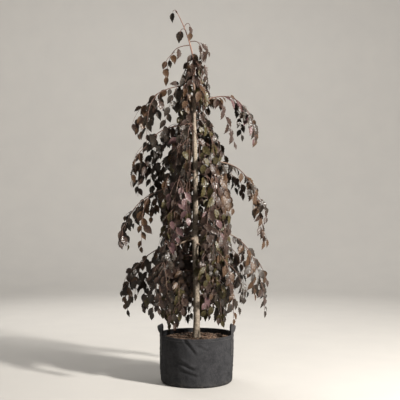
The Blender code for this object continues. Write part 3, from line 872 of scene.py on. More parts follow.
@dataclass
class Limbs:
    """The trunk's line and sizes, which every arch starts from."""

    soil_height: float = 0.300
    tip_height: float = 2.554
    lean: float = 0.018
    lean_end: float = 0.8
    curl: float = 0.124
    curl_start: float = 2.10
    sway: float = 0.004
    sway_length: float = 0.85
    sway_sideways: float = 0.5
    profile: tuple[tuple[float, float], ...] = (
        (0.30, 0.0225), (1.25, 0.0185), (1.60, 0.0160), (1.90, 0.0110),
        (2.20, 0.0062), (2.40, 0.0040), (2.554, 0.0021))
    flare_width: float = 0.006
    flare_height: float = 0.030
    flare_stations: tuple[float, ...] = (0.0, 0.020, 0.055, 0.110)
    step: float = 0.18
    leader_step: float = 0.055
    stations: Array = field(init=False)

    def __post_init__(self) -> None:
        """Work out the solid's own stations."""
        heights = [self.soil_height + GAP + rise for rise in self.flare_stations]
        while heights[-1] < self.curl_start:
            heights.append(heights[-1] + self.step)
        steps = round((self.tip_height - heights[-1]) / self.leader_step)
        last = heights[-1]
        for step in range(1, steps + 1):
            heights.append(last + (self.tip_height - last) * step / steps)
        self.stations = np.array(heights)
        self.station_x, self.station_y, self.station_radii = self.line(self.stations)

    def line(self, heights: Array) -> tuple[Array, Array, Array]:
        """Centres and radii of the trunk.

        Args:
            heights: The heights to read it at.

        Returns:
            Its x, its y and its radius at each height.
        """
        rise = (heights - self.soil_height) / (self.tip_height - self.soil_height)
        curl = np.clip((heights - self.curl_start) / (self.tip_height - self.curl_start), 0.0, 1.0)
        sway = self.sway * np.sin(tau * (heights - self.soil_height) / self.sway_length)
        lean = self.lean * np.clip(rise / self.lean_end, 0.0, 1.0)
        x = sway * self.sway_sideways - lean - self.curl * curl ** 2
        profile_heights, profile_radii = zip(*self.profile)
        radii = np.interp(heights, profile_heights, profile_radii)
        flare = np.exp(-(heights - self.soil_height) / self.flare_height)
        return x, sway, radii + self.flare_width * flare

    def centre(self, height: float) -> Vector:
        """The trunk's middle at a height."""
        return Vector((float(np.interp(height, self.stations, self.station_x)),
                       float(np.interp(height, self.stations, self.station_y)), height))

    def radius(self, height: float) -> float:
        """The trunk's radius at a height."""
        return float(np.interp(height, self.stations, self.station_radii))

    def way(self, height: float) -> Vector:
        """The way that the trunk grows at a height."""
        return (self.centre(height + 0.01) - self.centre(height - 0.01)).normalized()


LIMBS = Limbs()


@dataclass(frozen=True)
class Arch:
    """One arch: where it leaves the trunk, its size, and the shoots that it lets hang.

    Azimuth runs from +X towards +Y, in degrees. Lift is the height of its crest and
    drop that of its tip below its start. The bare share is the part that is a bough.
    Fullness is how closely its finer twigs and leaves stand.
    """

    name: str
    height: float
    azimuth: float
    reach: float
    lift: float
    drop: float
    bare: float
    shoots: int
    shoot_length: float
    half_angle: float = 60.0
    fullness: float = 1.0
    tip_inset: float = 0.035
    tip_raise: float = 0.070
    crest_start: float = 0.45
    crest_end: float = 0.92
    sway: float = 0.03
    bough_step: float = 0.075
    stem_step: float = 0.140
    root_radius: float = 0.0075
    trunk_share: float = 0.6
    tip_radius: float = 0.0036
    rim_reach: float = 0.200
    floor_past_rim: float = 0.410
    floor_in_rim: float = 0.350
    room_below: float = 0.060
    room_beyond: float = 0.015
    room_at_root: float = 0.10

    def root(self) -> tuple[Vector, Vector, Vector]:
        """Where the arch meets the bark.

        Returns:
            The start, the way that its root faces, and the level way outwards.
        """
        turn = radians(self.azimuth)
        outward = Vector((cos(turn), sin(turn), 0.0))
        way = LIMBS.way(self.height)
        if self.height >= LIMBS.tip_height:
            return LIMBS.centre(LIMBS.tip_height) + way * GAP, way, outward
        facing = (outward - way * outward.dot(way)).normalized()
        start = LIMBS.centre(self.height) + facing * (LIMBS.radius(self.height) + GAP)
        return start, facing, outward

    def stretch(self, first: float, last: float, step: float) -> list[Vector]:
        """Even points along a part of the arch, which is a cubic.

        Args:
            first: The share of the arch where the part starts.
            last: The share where it ends.
            step: The space between two points.

        Returns:
            The points.
        """
        start, _, outward = self.root()
        sideways = UP.cross(outward)
        lean = random.Random(self.name + " sway").uniform(-1.0, 1.0) * self.sway
        reach = max(self.reach - self.tip_inset, self.reach / 2)
        hang = max(self.drop - self.tip_raise, 0.0)
        ends = (start, start + outward * reach * self.crest_start + UP * self.lift,
                start + outward * reach * self.crest_end + UP * self.lift + sideways * lean,
                start + outward * reach - UP * hang - sideways * lean)
        length = self.reach + abs(self.lift) + self.drop
        count = max(2, round(length * (last - first) / step))
        points = []
        for index in range(count + 1):
            share = first + (last - first) * index / count
            rest = 1.0 - share
            weights = (rest ** 3, 3.0 * rest ** 2 * share, 3.0 * rest * share ** 2, share ** 3)
            points.append(sum((end * weight for end, weight in zip(ends, weights)), Vector()))
        return points

    def bough_radii(self, count: int) -> list[float]:
        """Radii of the bare bough at some points along it."""
        root_radius = min(self.root_radius, LIMBS.radius(self.height) * self.trunk_share)
        return taper(count, root_radius, self.tip_radius)

    def bough(self) -> tuple[list[Vector], list[float]]:
        """Points and radii of the bare bough, as in the solid."""
        points = self.stretch(0.0, self.bare, self.bough_step)
        return points, self.bough_radii(len(points))

    def stem(self) -> list[Vector]:
        """The stem that carries the foliage, as in the solid.

        Returns:
            Its points.
        """
        points = self.stretch(self.bare, 1.0, self.stem_step)
        if self.bare > 0.0:
            bough, _ = self.bough()
            points[0] = bough[-1] + (bough[-1] - bough[-2]).normalized() * GAP
        return points

    def holds(self, places: Array) -> bool:
        """Whether places keep to the arch's own sector, reach and lowest height.

        Args:
            places: Rows of x, y and z.

        Returns:
            True if all of them do.
        """
        past_rim = np.abs(places[:, 0]) > self.rim_reach
        floor = np.where(past_rim, self.floor_past_rim, self.floor_in_rim)
        lowest = np.maximum(floor, self.height - self.drop - self.room_below)
        offsets = places[:, :2] - np.array(LIMBS.centre(self.height))[:2]
        distances = np.hypot(offsets[:, 0], offsets[:, 1])
        turns = np.degrees(np.arctan2(offsets[:, 1], offsets[:, 0])) - self.azimuth
        turns = np.abs((turns + 180.0) % 360.0 - 180.0)
        outside = (turns > self.half_angle) & (distances > self.room_at_root)
        outside |= (distances > self.reach + self.room_beyond) | (places[:, 2] < lowest)
        return not outside.any()


def taper(count: int, root_radius: float, tip_radius: float) -> list[float]:
    """Radii that fall evenly from root to tip."""
    return [root_radius + (tip_radius - root_radius) * index / (count - 1)
            for index in range(count)]


OUTER_ARCHES = (
    Arch("upper_left", 2.05, 184, 0.415, -0.04, 0.43, 0.30, 2, 0.30),
    Arch("upper_right", 1.90, 358, 0.430, 0.10, 0.30, 0.34, 3, 0.28),
    Arch("upper_back", 1.96, 96, 0.330, 0.03, 0.40, 0.34, 2, 0.30),
    Arch("middle_left", 1.77, 175, 0.420, -0.02, 0.49, 0.36, 3, 0.30),
    Arch("middle_right", 1.50, 4, 0.500, 0.03, 0.64, 0.40, 3, 0.36),
    Arch("middle_back_left", 1.64, 132, 0.430, 0.00, 0.50, 0.40, 2, 0.34),
    Arch("middle_back_right", 1.70, 50, 0.420, 0.02, 0.50, 0.40, 2, 0.34),
    Arch("front_left", 1.44, 237, 0.290, 0.03, 0.56, 0.36, 2, 0.32),
    Arch("front_right", 1.26, 301, 0.280, 0.02, 0.44, 0.36, 2, 0.28),
    Arch("lower_left", 1.40, 187, 0.520, -0.10, 0.52, 0.38, 3, 0.34, fullness=0.85),
    Arch("lower_back", 1.30, 92, 0.500, 0.00, 0.58, 0.40, 2, 0.36),
    Arch("skirt_left", 1.02, 174, 0.508, -0.12, 0.56, 0.38, 3, 0.32, fullness=0.78),
    Arch("skirt_right", 1.05, 355, 0.490, -0.02, 0.63, 0.40, 3, 0.38),
    Arch("skirt_back_left", 1.00, 136, 0.480, -0.06, 0.54, 0.40, 2, 0.34),
    Arch("skirt_back_right", 1.06, 46, 0.480, -0.03, 0.58, 0.40, 2, 0.36),
    Arch("skirt_front_left", 0.98, 222, 0.380, -0.04, 0.54, 0.38, 2, 0.32),
    Arch("skirt_front_right", 0.94, 316, 0.380, -0.02, 0.54, 0.38, 2, 0.32),
)

LEADER_ARCHES = (
    Arch("leader_tip", 2.554, 180, 0.040, 0.000, 0.080, 0.0, 0, 0.0),
    Arch("leader_left", 2.425, 185, 0.060, 0.004, 0.110, 0.0, 0, 0.0),
    Arch("leader_right", 2.440, 355, 0.080, 0.035, 0.110, 0.0, 0, 0.0),
    Arch("top_left", 2.315, 182, 0.190, -0.01, 0.28, 0.0, 1, 0.14, fullness=0.6),
    Arch("top_right", 2.335, 352, 0.130, 0.01, 0.22, 0.0, 1, 0.12, fullness=0.8),
    Arch("top_back", 2.260, 88, 0.100, 0.02, 0.26, 0.0, 1, 0.14),
    Arch("top_front", 2.240, 282, 0.080, 0.02, 0.24, 0.0, 1, 0.12),
)

# Rings of curtains: name, height, reach, lift, drop, shoots, their length, and ways.
CURTAIN_RINGS = (
    ("neck", 2.12, 0.110, 0.02, 0.34, 1, 0.18, (208, 322)),
    ("high", 1.84, 0.180, 0.03, 0.48, 3, 0.26, (155, 12, 248)),
    ("mid", 1.56, 0.240, 0.03, 0.64, 4, 0.34, (200, 95, 335)),
    ("low", 1.18, 0.250, 0.02, 0.62, 3, 0.34, (158, 22, 296)),
    ("hem", 0.86, 0.230, 0.02, 0.50, 3, 0.28, (192, 95, 348)),
)
RING_STAGGER = 0.05
CURTAIN_HALF_ANGLE = 75.0


def curtain_arches() -> list[Arch]:
    """Set out the curtains of every ring, each a little lower than the one before.

    Returns:
        One arch for each curtain.
    """
    arches = []
    for name, height, reach, lift, drop, shoots, length, ways in CURTAIN_RINGS:
        for index, azimuth in enumerate(ways):
            arches.append(Arch(f"{name}_{index + 1}", height - index * RING_STAGGER, azimuth,
                               reach, lift, drop, 0.0, shoots, length, CURTAIN_HALF_ANGLE))
    return arches


@dataclass(frozen=True)
class SpurRule:
    """Spurs: the short leafy twigs that fill the crown close to the trunk.

    They wind down the trunk by an even turn and leave its front open, in degrees.
    """

    count: int = 38
    top: float = 2.20
    foot: float = 0.58
    turn: float = 137.5
    front: float = 270.0
    open_front: float = 32.0
    reach_at_top: float = 0.10
    reach_at_foot: float = 0.25
    spread: float = 1.6
    lift: float = 0.02
    drop: float = 0.34
    lowest: float = 0.36
    shoot_length: float = 0.22
    half_angle: float = 70.0

    def arches(self) -> list[Arch]:
        """Set out the spurs.

        Returns:
            One small arch for each.
        """
        made = []
        for index in range(self.count):
            azimuth = index * self.turn % 360.0
            if abs(azimuth - self.front) < self.open_front:
                continue
            share = index / (self.count - 1)
            height = self.top + (self.foot - self.top) * share
            wider = (self.reach_at_foot - self.reach_at_top) * min(share * self.spread, 1.0)
            made.append(Arch(f"spur_{index + 1}", height, azimuth, self.reach_at_top + wider,
                             self.lift, min(self.drop, height - self.lowest), 0.0,
                             1 + index % 2, self.shoot_length, self.half_angle))
        return made


@dataclass
class Twig:
    """A twig: its line, where it leaves its parent, its thickness and its leaves' facing.

    Order is 0 for the leafy end of a bough, which is drawn as wood, 1 for a stem, 2 for a
    shoot of the solid model and 3 for a finer one.
    """

    points: list[Vector]
    place: float
    facing: Vector
    root_radius: float
    tip_radius: float
    order: int


@dataclass
class Spray:
    """A twig whose leaves share one tone."""

    arch: Arch
    twig: Twig
    tone: LeafTone


@dataclass(frozen=True)
class HangerRule:
    """How finer twigs leave a twig: their spacing and lengths, less further along it."""

    pitch: float
    shortest: float
    longest: float
    loss: float


@dataclass
class Growth:
    """Grows the crown's twigs by the solid model's rule, and then finer ones.

    Hanger rules are for a bough's leafy end, a stem and a shoot, in that order. Some
    stretches of the trunk stay in view of the eye, and shorter ones of the sun.
    """

    light: Place = (0.25, -1.0, 0.55)
    front_light: float = 0.90
    front_outward: float = 0.32
    back_from: float = 0.35
    back_light: float = 0.20
    back_outward: float = 0.90
    back_upward: float = 0.30
    facing_spread: float = 0.40
    stem_radii: tuple[float, float] = (0.0036, 0.0015)
    shoot_radii: tuple[float, float] = (0.0024, 0.0013)
    fine_radii: tuple[float, float] = (0.0014, 0.0009)
    shoot_step: float = 0.095
    shoot_weight: float = 1.10
    shoot_wander: float = 0.10
    shoot_spread: float = 58.0
    shoot_rise: float = 0.15
    shoots_end: float = 0.80
    shortest: float = 0.060
    root_reach: float = 0.030
    mass_clearance: float = 0.010
    limb_clearance: float = 0.006
    fine_step: float = 0.016
    leafy_from: float = 0.30
    sparse: float = 0.7
    outer_hangers: tuple[HangerRule, ...] = (
        HangerRule(0.060, 0.12, 0.46, 0.25), HangerRule(0.110, 0.10, 0.28, 0.50),
        HangerRule(0.130, 0.05, 0.12, 0.40))
    inner_hangers: tuple[HangerRule, ...] = (
        HangerRule(0.050, 0.15, 0.36, 0.40), HangerRule(0.046, 0.14, 0.38, 0.40),
        HangerRule(0.055, 0.08, 0.24, 0.45))
    top_hangers: tuple[HangerRule, ...] = (
        HangerRule(0.060, 0.08, 0.20, 0.40), HangerRule(0.080, 0.06, 0.14, 0.50),
        HangerRule(0.090, 0.05, 0.10, 0.40))
    hanger_weight: float = 0.34
    hanger_wander: float = 0.07
    hanger_lean: float = 0.30
    hanger_turn: float = 0.35
    bare_tip: float = 0.03
    shortest_hanger: float = 0.045
    lowest: float = 0.352
    uneven_foot: float = 0.09
    eye: Place = (0.0, -5.0, 1.13)
    sun: Place = (4.1, -3.0, 3.8)
    in_view: tuple[tuple[float, float], ...] = ((0.30, 0.67), (0.84, 1.43), (1.49, 1.90))
    sunlit: tuple[tuple[float, float], ...] = (
        (0.36, 0.46), (0.55, 0.62), (0.90, 0.96), (1.16, 1.22), (1.34, 1.41), (1.54, 1.62),
        (1.72, 1.84))
    window_edge: float = 0.004
    top_from: float = 2.15
    filled: list[Vector] = field(default_factory=list)
    sprays: list[Spray] = field(default_factory=list)

    def __post_init__(self) -> None:
        """Set out the limbs that nothing may touch."""
        starts, ends, radii = [], [], []
        trunk = [Vector(place) for place in zip(LIMBS.station_x, LIMBS.station_y, LIMBS.stations)]
        limbs = [(trunk, LIMBS.station_radii)] + [arch.bough() for arch in OUTER_ARCHES]
        for points, limb_radii in limbs:
            starts += points[:-1]
            ends += points[1:]
            radii += [max(pair) for pair in zip(limb_radii, limb_radii[1:])]
        self.starts = np.array(starts)
        self.spans = np.array(ends) - self.starts
        self.radii = np.array(radii)

    def touches_limb(self, places: Array) -> bool:
        """Whether any of some places comes too close to a limb.

        Args:
            places: Rows of x, y and z.

        Returns:
            True if one does.
        """
        offsets = places[:, None, :] - self.starts[None]
        shares = (offsets * self.spans).sum(-1) / (self.spans ** 2).sum(-1)
        nearest = offsets - np.clip(shares, 0.0, 1.0)[..., None] * self.spans
        return bool((np.linalg.norm(nearest, axis=-1) < self.radii + self.limb_clearance).any())

    def hides_trunk(self, places: Array) -> bool:
        """Whether something would hang before a stretch of the trunk that stays in view.

        Args:
            places: Places all over it.

        Returns:
            True if it would.
        """
        for eye, stretches in ((Vector(self.eye), self.in_view), (Vector(self.sun), self.sunlit)):
            ahead = -eye.xy.normalized()
            sideways = np.array((ahead.y, -ahead.x))
            offsets = places[:, :2] - np.array(eye.xy)
            nearer = eye.xy.length / (offsets @ np.array(ahead))
            across = offsets @ sideways * nearer
            heights = eye.z + (places[:, 2] - eye.z) * nearer
            centre, middle, radius = LIMBS.line(heights)
            trunk_across = np.stack([centre, middle], axis=1) @ sideways
            before = (nearer > 1.0) & (np.abs(across - trunk_across) < radius + self.window_edge)
            within = [(heights > low) & (heights < high) for low, high in stretches]
            if (before & np.any(within, axis=0)).any():
                return True
        return False

    def trimmed(self, arch: Arch, points: list[Vector],
                others: kdtree.KDTree | None = None) -> list[Vector]:
        """The part of a twig that keeps to its arch's own air.

        Args:
            arch: The arch that the twig belongs to.
            points: The twig's line.
            others: Places that the other arches already fill.

        Returns:
            The points that stay.
        """
        kept = [points[0]]
        for before, after in zip(points, points[1:]):
            places = [place for place in line_samples([before, after])
                      if (place - points[0]).length > self.root_reach]
            if places:
                rows = np.array(places)
                if not arch.holds(rows) or self.touches_limb(rows):
                    break
                if others and any((others.find(place)[2] or 1.0) < self.mass_clearance
                                  for place in places):
                    break
            kept.append(after)
        return kept

    def facing(self, outward: Vector, draw: random.Random) -> Vector:
        """The way that a twig turns its leaves: to the light in front, and outwards behind.

        Args:
            outward: The level way that the twig's arch takes.
            draw: The seeded source of chance.

        Returns:
            The way.
        """
        light = Vector(self.light).normalized()
        spread = wander(draw) * self.facing_spread
        if outward.y > self.back_from:
            turned = light * self.back_light + outward * self.back_outward + UP * self.back_upward
            return (turned + spread).normalized()
        return (light * self.front_light + outward * self.front_outward + spread).normalized()

    def main_twigs(self, arch: Arch) -> list[Twig]:
        """An arch's stem and its shoots, as in the solid.

        Args:
            arch: The arch.

        Returns:
            The stem, then the shoots.
        """
        draw = random.Random(arch.name + " shoots")
        outward = arch.root()[2]
        points = arch.stem()
        twigs = [Twig(points, 0.0, self.facing(outward, draw), *self.stem_radii, 1)]
        side = draw.choice((-1.0, 1.0))
        for index in range(arch.shoots):
            share = (index + draw.uniform(0.25, 0.75)) / arch.shoots
            place = line_length(points) * self.shoots_end * share
            spread = side * draw.uniform(0.6, 1.2) * self.shoot_spread
            turn = radians(arch.azimuth + spread)
            heading = Vector((cos(turn), sin(turn), self.shoot_rise)).normalized()
            length = arch.shoot_length * draw.uniform(0.75, 1.15)
            length *= 1.15 - 0.30 * share
            line = [along_line(points, place)[0]]
            for _ in range(max(2, round(length / self.shoot_step))):
                stray = wander(draw) * self.shoot_wander
                heading = (heading + DOWN * self.shoot_weight + stray).normalized()
                line.append(line[-1] + heading * self.shoot_step)
            facing = self.facing(outward, draw)
            twigs.append(Twig(line, place, facing, *self.shoot_radii, 2))
            side = -side
        return twigs

    def lay_main_twigs(self, arch: Arch) -> list[Twig]:
        """The main twigs of an arch, cut short where they would leave its air.

        Args:
            arch: The arch.

        Returns:
            The twigs that stay.
        """
        others = kdtree.KDTree(len(self.filled))
        for index, place in enumerate(self.filled):
            others.insert(place, index)
        others.balance()
        twigs = self.main_twigs(arch)
        for twig in twigs:
            twig.points = self.trimmed(arch, twig.points, others)
        stem_length = line_length(twigs[0].points)
        kept = twigs[:1] + [twig for twig in twigs[1:] if twig.place < stem_length
                            and line_length(twig.points) >= self.shortest]
        for twig in kept:
            self.filled += line_samples(twig.points)
        return kept

    def hangers(self, arch: Arch, parent: Twig, draw: random.Random) -> list[Twig]:
        """The finer twigs of a twig, which leave it on alternate sides and hang.

        Args:
            arch: The arch that the twig belongs to.
            parent: The twig that they hang from.
            draw: The seeded source of chance.

        Returns:
            The finer twigs that find room.
        """
        length = line_length(parent.points)
        rules = self.outer_hangers if arch.bare else self.inner_hangers
        rule = (self.top_hangers if arch in LEADER_ARCHES else rules)[parent.order]
        rest = (DOWN + arch.root()[2] * self.hanger_lean).normalized()
        place = rule.pitch * draw.uniform(0.2, 0.8)
        side = draw.choice((-1.0, 1.0))
        made = []
        while place < length - self.bare_tip:
            start, way = along_line(parent.points, place)
            across = way.cross(parent.facing).normalized() * side
            heading = across * 0.75 + way * 0.50 + parent.facing * draw.uniform(-0.3, 0.5)
            heading.normalize()
            long = draw.uniform(rule.shortest, rule.longest) * (1.0 - rule.loss * place / length)
            line = [start]
            for _ in range(round(long / self.fine_step)):
                stray = wander(draw) * self.hanger_wander
                heading = (heading + rest * self.hanger_weight + stray).normalized()
                line.append(line[-1] + heading * self.fine_step)
            line = self.trimmed(arch, line)
            foot = arch.height - arch.drop - arch.room_below + draw.uniform(0.0, self.uneven_foot)
            foot = max(foot, self.lowest + draw.uniform(0.0, self.uneven_foot))
            while len(line) > 1 and (line[-1].z < foot or self.hides_trunk(np.array(line[-1:]))):
                line.pop()
            if line_length(line) >= self.shortest_hanger:
                facing = (parent.facing + wander(draw) * self.hanger_turn).normalized()
                made.append(Twig(line, place, facing, *self.fine_radii, 3))
            side = -side
            place += rule.pitch / arch.fullness * draw.uniform(0.75, 1.25)
        return made

    def tone(self, arch: Arch, twig: Twig, draw: random.Random) -> LeafTone:
        """The tone of a spray, by where it hangs.

        The tones paint light and shade. The inside of the crown is bronze on the sunlit right,
        painted sunlight through the leaves, and plum on the left; its outside is duskier, with
        the most dusk on the left as painted shade; and the sprays that hang in front of the
        trunk are rose, a painted highlight.

        Args:
            arch: The arch that the spray belongs to.
            twig: The spray's twig.
            draw: The seeded source of chance.

        Returns:
            The tone.
        """
        middle = twig.points[len(twig.points) // 2]
        # Painted highlight: the sprays in front of the trunk get the most rose.
        if arch.name in ("front_left", "front_right"):
            weights = (2, 4, 2, 1, 5)
        elif middle.z > self.top_from:
            weights = (4, 6, 4, 2, 1)
        # Painted light: on the sunlit right, the inside gets the most bronze of sunlight through
        # leaves.
        elif middle.x > 0.0:
            weights = (5, 6, 3, 0.5, 0.3) if arch.bare else (5, 4, 3, 6, 0.1)
        # Painted shade: the left, away from the sun, gets the most dusk.
        else:
            weights = (8, 5, 2, 0.4, 0.1) if arch.bare else (7, 5, 2, 3, 0.1)
        return draw.choices(list(LeafTone), weights)[0]

    def grow(self) -> None:
        """Grow every spray, in the order of the arches."""
        arches = LEADER_ARCHES + OUTER_ARCHES + tuple(curtain_arches() + SpurRule().arches())
        laid = {arch: self.lay_main_twigs(arch) for arch in arches}
        for arch, twigs in laid.items():
            draw = random.Random(arch.name + " sprays")
            stem_share = (len(twigs[0].points) - 1) / (len(arch.stem()) - 1)
            end = arch.bare + (1.0 - arch.bare) * stem_share
            twigs[0].points = arch.stretch(arch.bare, end, self.fine_step)
            for twig in twigs[1:]:
                if len(twig.points) > 2:
                    twig.points = rounded_line(twig.points, self.fine_step)
            if arch.bare:
                bough = arch.stretch(arch.bare * self.leafy_from, arch.bare, self.fine_step)
                twigs.append(Twig(bough, 0.0, twigs[0].facing, 0.0, 0.0, 0))
            if arch.shoots and arch.fullness > self.sparse:
                for parent in list(twigs):
                    twigs += self.hangers(arch, parent, draw)
            self.sprays += [Spray(arch, twig, self.tone(arch, twig, draw)) for twig in twigs]


@dataclass(frozen=True)
class LeafShape:
    """The blade of a beech leaf on its stalk, as a closed four-cornered tube.

    Sizes are shares of the blade's length. The stalk is the first two rings, and the
    rest are pleated at the side veins, so that the margin is gently waved.
    """

    rows: int = 9
    breadth: float = 0.51
    widest: float = 0.42
    base_round: float = 0.60
    tip_round: float = 1.50
    tip_point: float = 1.25
    stalk: float = 0.13
    stalk_drop: float = 0.012
    stalk_radius: float = 0.009
    thickness: float = 0.010
    fold: float = 0.30
    pleat: float = 0.036
    droop: float = 0.16
    twist: float = 0.0

    def half_breadth(self, share: float) -> float:
        """Half the blade's breadth.

        Args:
            share: A share of its length.

        Returns:
            The half breadth there.
        """
        if share < self.widest:
            outline = (1.0 - (1.0 - share / self.widest) ** 2) ** self.base_round
        else:
            beyond = (share - self.widest) / (1.0 - self.widest)
            outline = (1.0 - beyond ** self.tip_round) ** self.tip_point
        return max(self.breadth / 2 * outline, self.stalk_radius * 0.8)

    def midrib(self, share: float) -> tuple[float, float]:
        """Way along and height of the midrib at a share of the length."""
        along = sin(share * self.droop * 4.0) / (self.droop * 4.0)
        return along, -self.droop * share ** 2

    def arrays(self) -> tuple[Array, Array, Array, Array]:
        """The leaf along +Y, its upper side facing +Z and its stalk's root at the origin.

        Returns:
            The vertices, the quads, the corners' places on the blade map, and a mark
            for each quad of the underside.
        """
        rings = [((0.0, 0.0), self.stalk_radius, self.stalk_radius, 0.0, 0.0),
                 ((self.stalk * 0.9, -self.stalk_drop), self.stalk_radius, self.stalk_radius,
                  0.0, 0.0)]
        for row in range(self.rows + 1):
            share = row / self.rows
            along, height = self.midrib(share)
            wave = self.pleat * (1.0 if row % 2 else -1.0) * sin(pi * share)
            rings.append(((self.stalk + along, height - self.stalk_drop),
                          self.half_breadth(share), self.thickness / 2, wave, share))
        points = []
        for (along, height), half, thick, wave, share in rings:
            lift = half * self.fold + wave if share else 0.0
            turn = self.twist * share
            for x, z in ((-half, lift), (0.0, thick), (half, lift), (0.0, -thick)):
                points.append((x * cos(turn) - z * sin(turn), along,
                               height + x * sin(turn) + z * cos(turn)))
        places, under = [], []
        for (*_, low), (*_, high) in zip(rings, rings[1:]):
            for side in range(4):
                first, second = (0.0, 0.5, 1.0, 0.5, 0.0)[side:side + 2]
                places.append(((first, low), (second, low), (second, high), (first, high)))
                under.append(int(side >= 2))
        places += [((0.5, 0.0),) * 4, ((0.5, 1.0),) * 4]
        quads = bar_quads(len(rings))
        return np.array(points), quads, np.array(places), np.array(under + [0, 0])


@dataclass(frozen=True)
class LeaderLeaf:
    """One of the few leaves near the leader's tip, which each show against the sky.

    The share is its place along the stem of its arch.
    """

    arch: str
    share: float
    way: Place
    facing: Place
    length: float
    shape: int
    tone: LeafTone


LEADER_LEAVES = (
    LeaderLeaf("leader_tip", 1.0, (-0.1, -0.1, -1.0), (-0.5, -1.0, 0.0), 0.074, 0, LeafTone.DUSK),
    LeaderLeaf("leader_tip", 0.1, (0.5, -0.2, -1.0), (0.2, -1.0, 0.2), 0.026, 2, LeafTone.PLUM),
    LeaderLeaf("leader_left", 0.3, (-0.25, -0.2, -1.0), (-0.3, -1.0, -0.1), 0.094, 3, LeafTone.DUSK),
    LeaderLeaf("leader_right", 0.5, (0.2, -0.15, -1.0), (0.75, -0.65, 0.1), 0.072, 3, LeafTone.PLUM),
    LeaderLeaf("leader_right", 1.0, (-0.1, -0.2, -1.0), (0.0, -1.0, -0.1), 0.062, 3, LeafTone.COPPER),
    LeaderLeaf("top_left", 0.25, (0.0, -0.3, -1.0), (0.75, -0.65, 0.1), 0.086, 3, LeafTone.PLUM),
    LeaderLeaf("top_left", 0.62, (0.1, -0.1, -1.0), (0.0, -1.0, 0.0), 0.058, 0, LeafTone.DUSK),
    LeaderLeaf("top_left", 0.80, (-0.25, -0.1, -1.0), (-0.4, -1.0, 0.0), 0.072, 0, LeafTone.DUSK),
    LeaderLeaf("top_left", 1.0, (-0.1, 0.0, -1.0), (-0.1, -1.0, 0.0), 0.070, 2, LeafTone.COPPER),
    LeaderLeaf("top_right", 0.35, (0.2, -0.2, -1.0), (0.75, -0.65, 0.1), 0.072, 3, LeafTone.PLUM),
    LeaderLeaf("top_right", 0.65, (0.0, -0.3, -1.0), (0.2, -1.0, 0.2), 0.060, 0, LeafTone.BRONZE),
    LeaderLeaf("top_right", 1.0, (0.35, -0.1, -1.0), (0.70, -0.75, 0.0), 0.082, 0, LeafTone.PLUM),
)


@dataclass
class LeafPlace:
    """Where a leaf grows: its stalk's root, its way, its facing and its length."""

    root: Vector
    way: Vector
    facing: Vector
    length: float
    shape: int


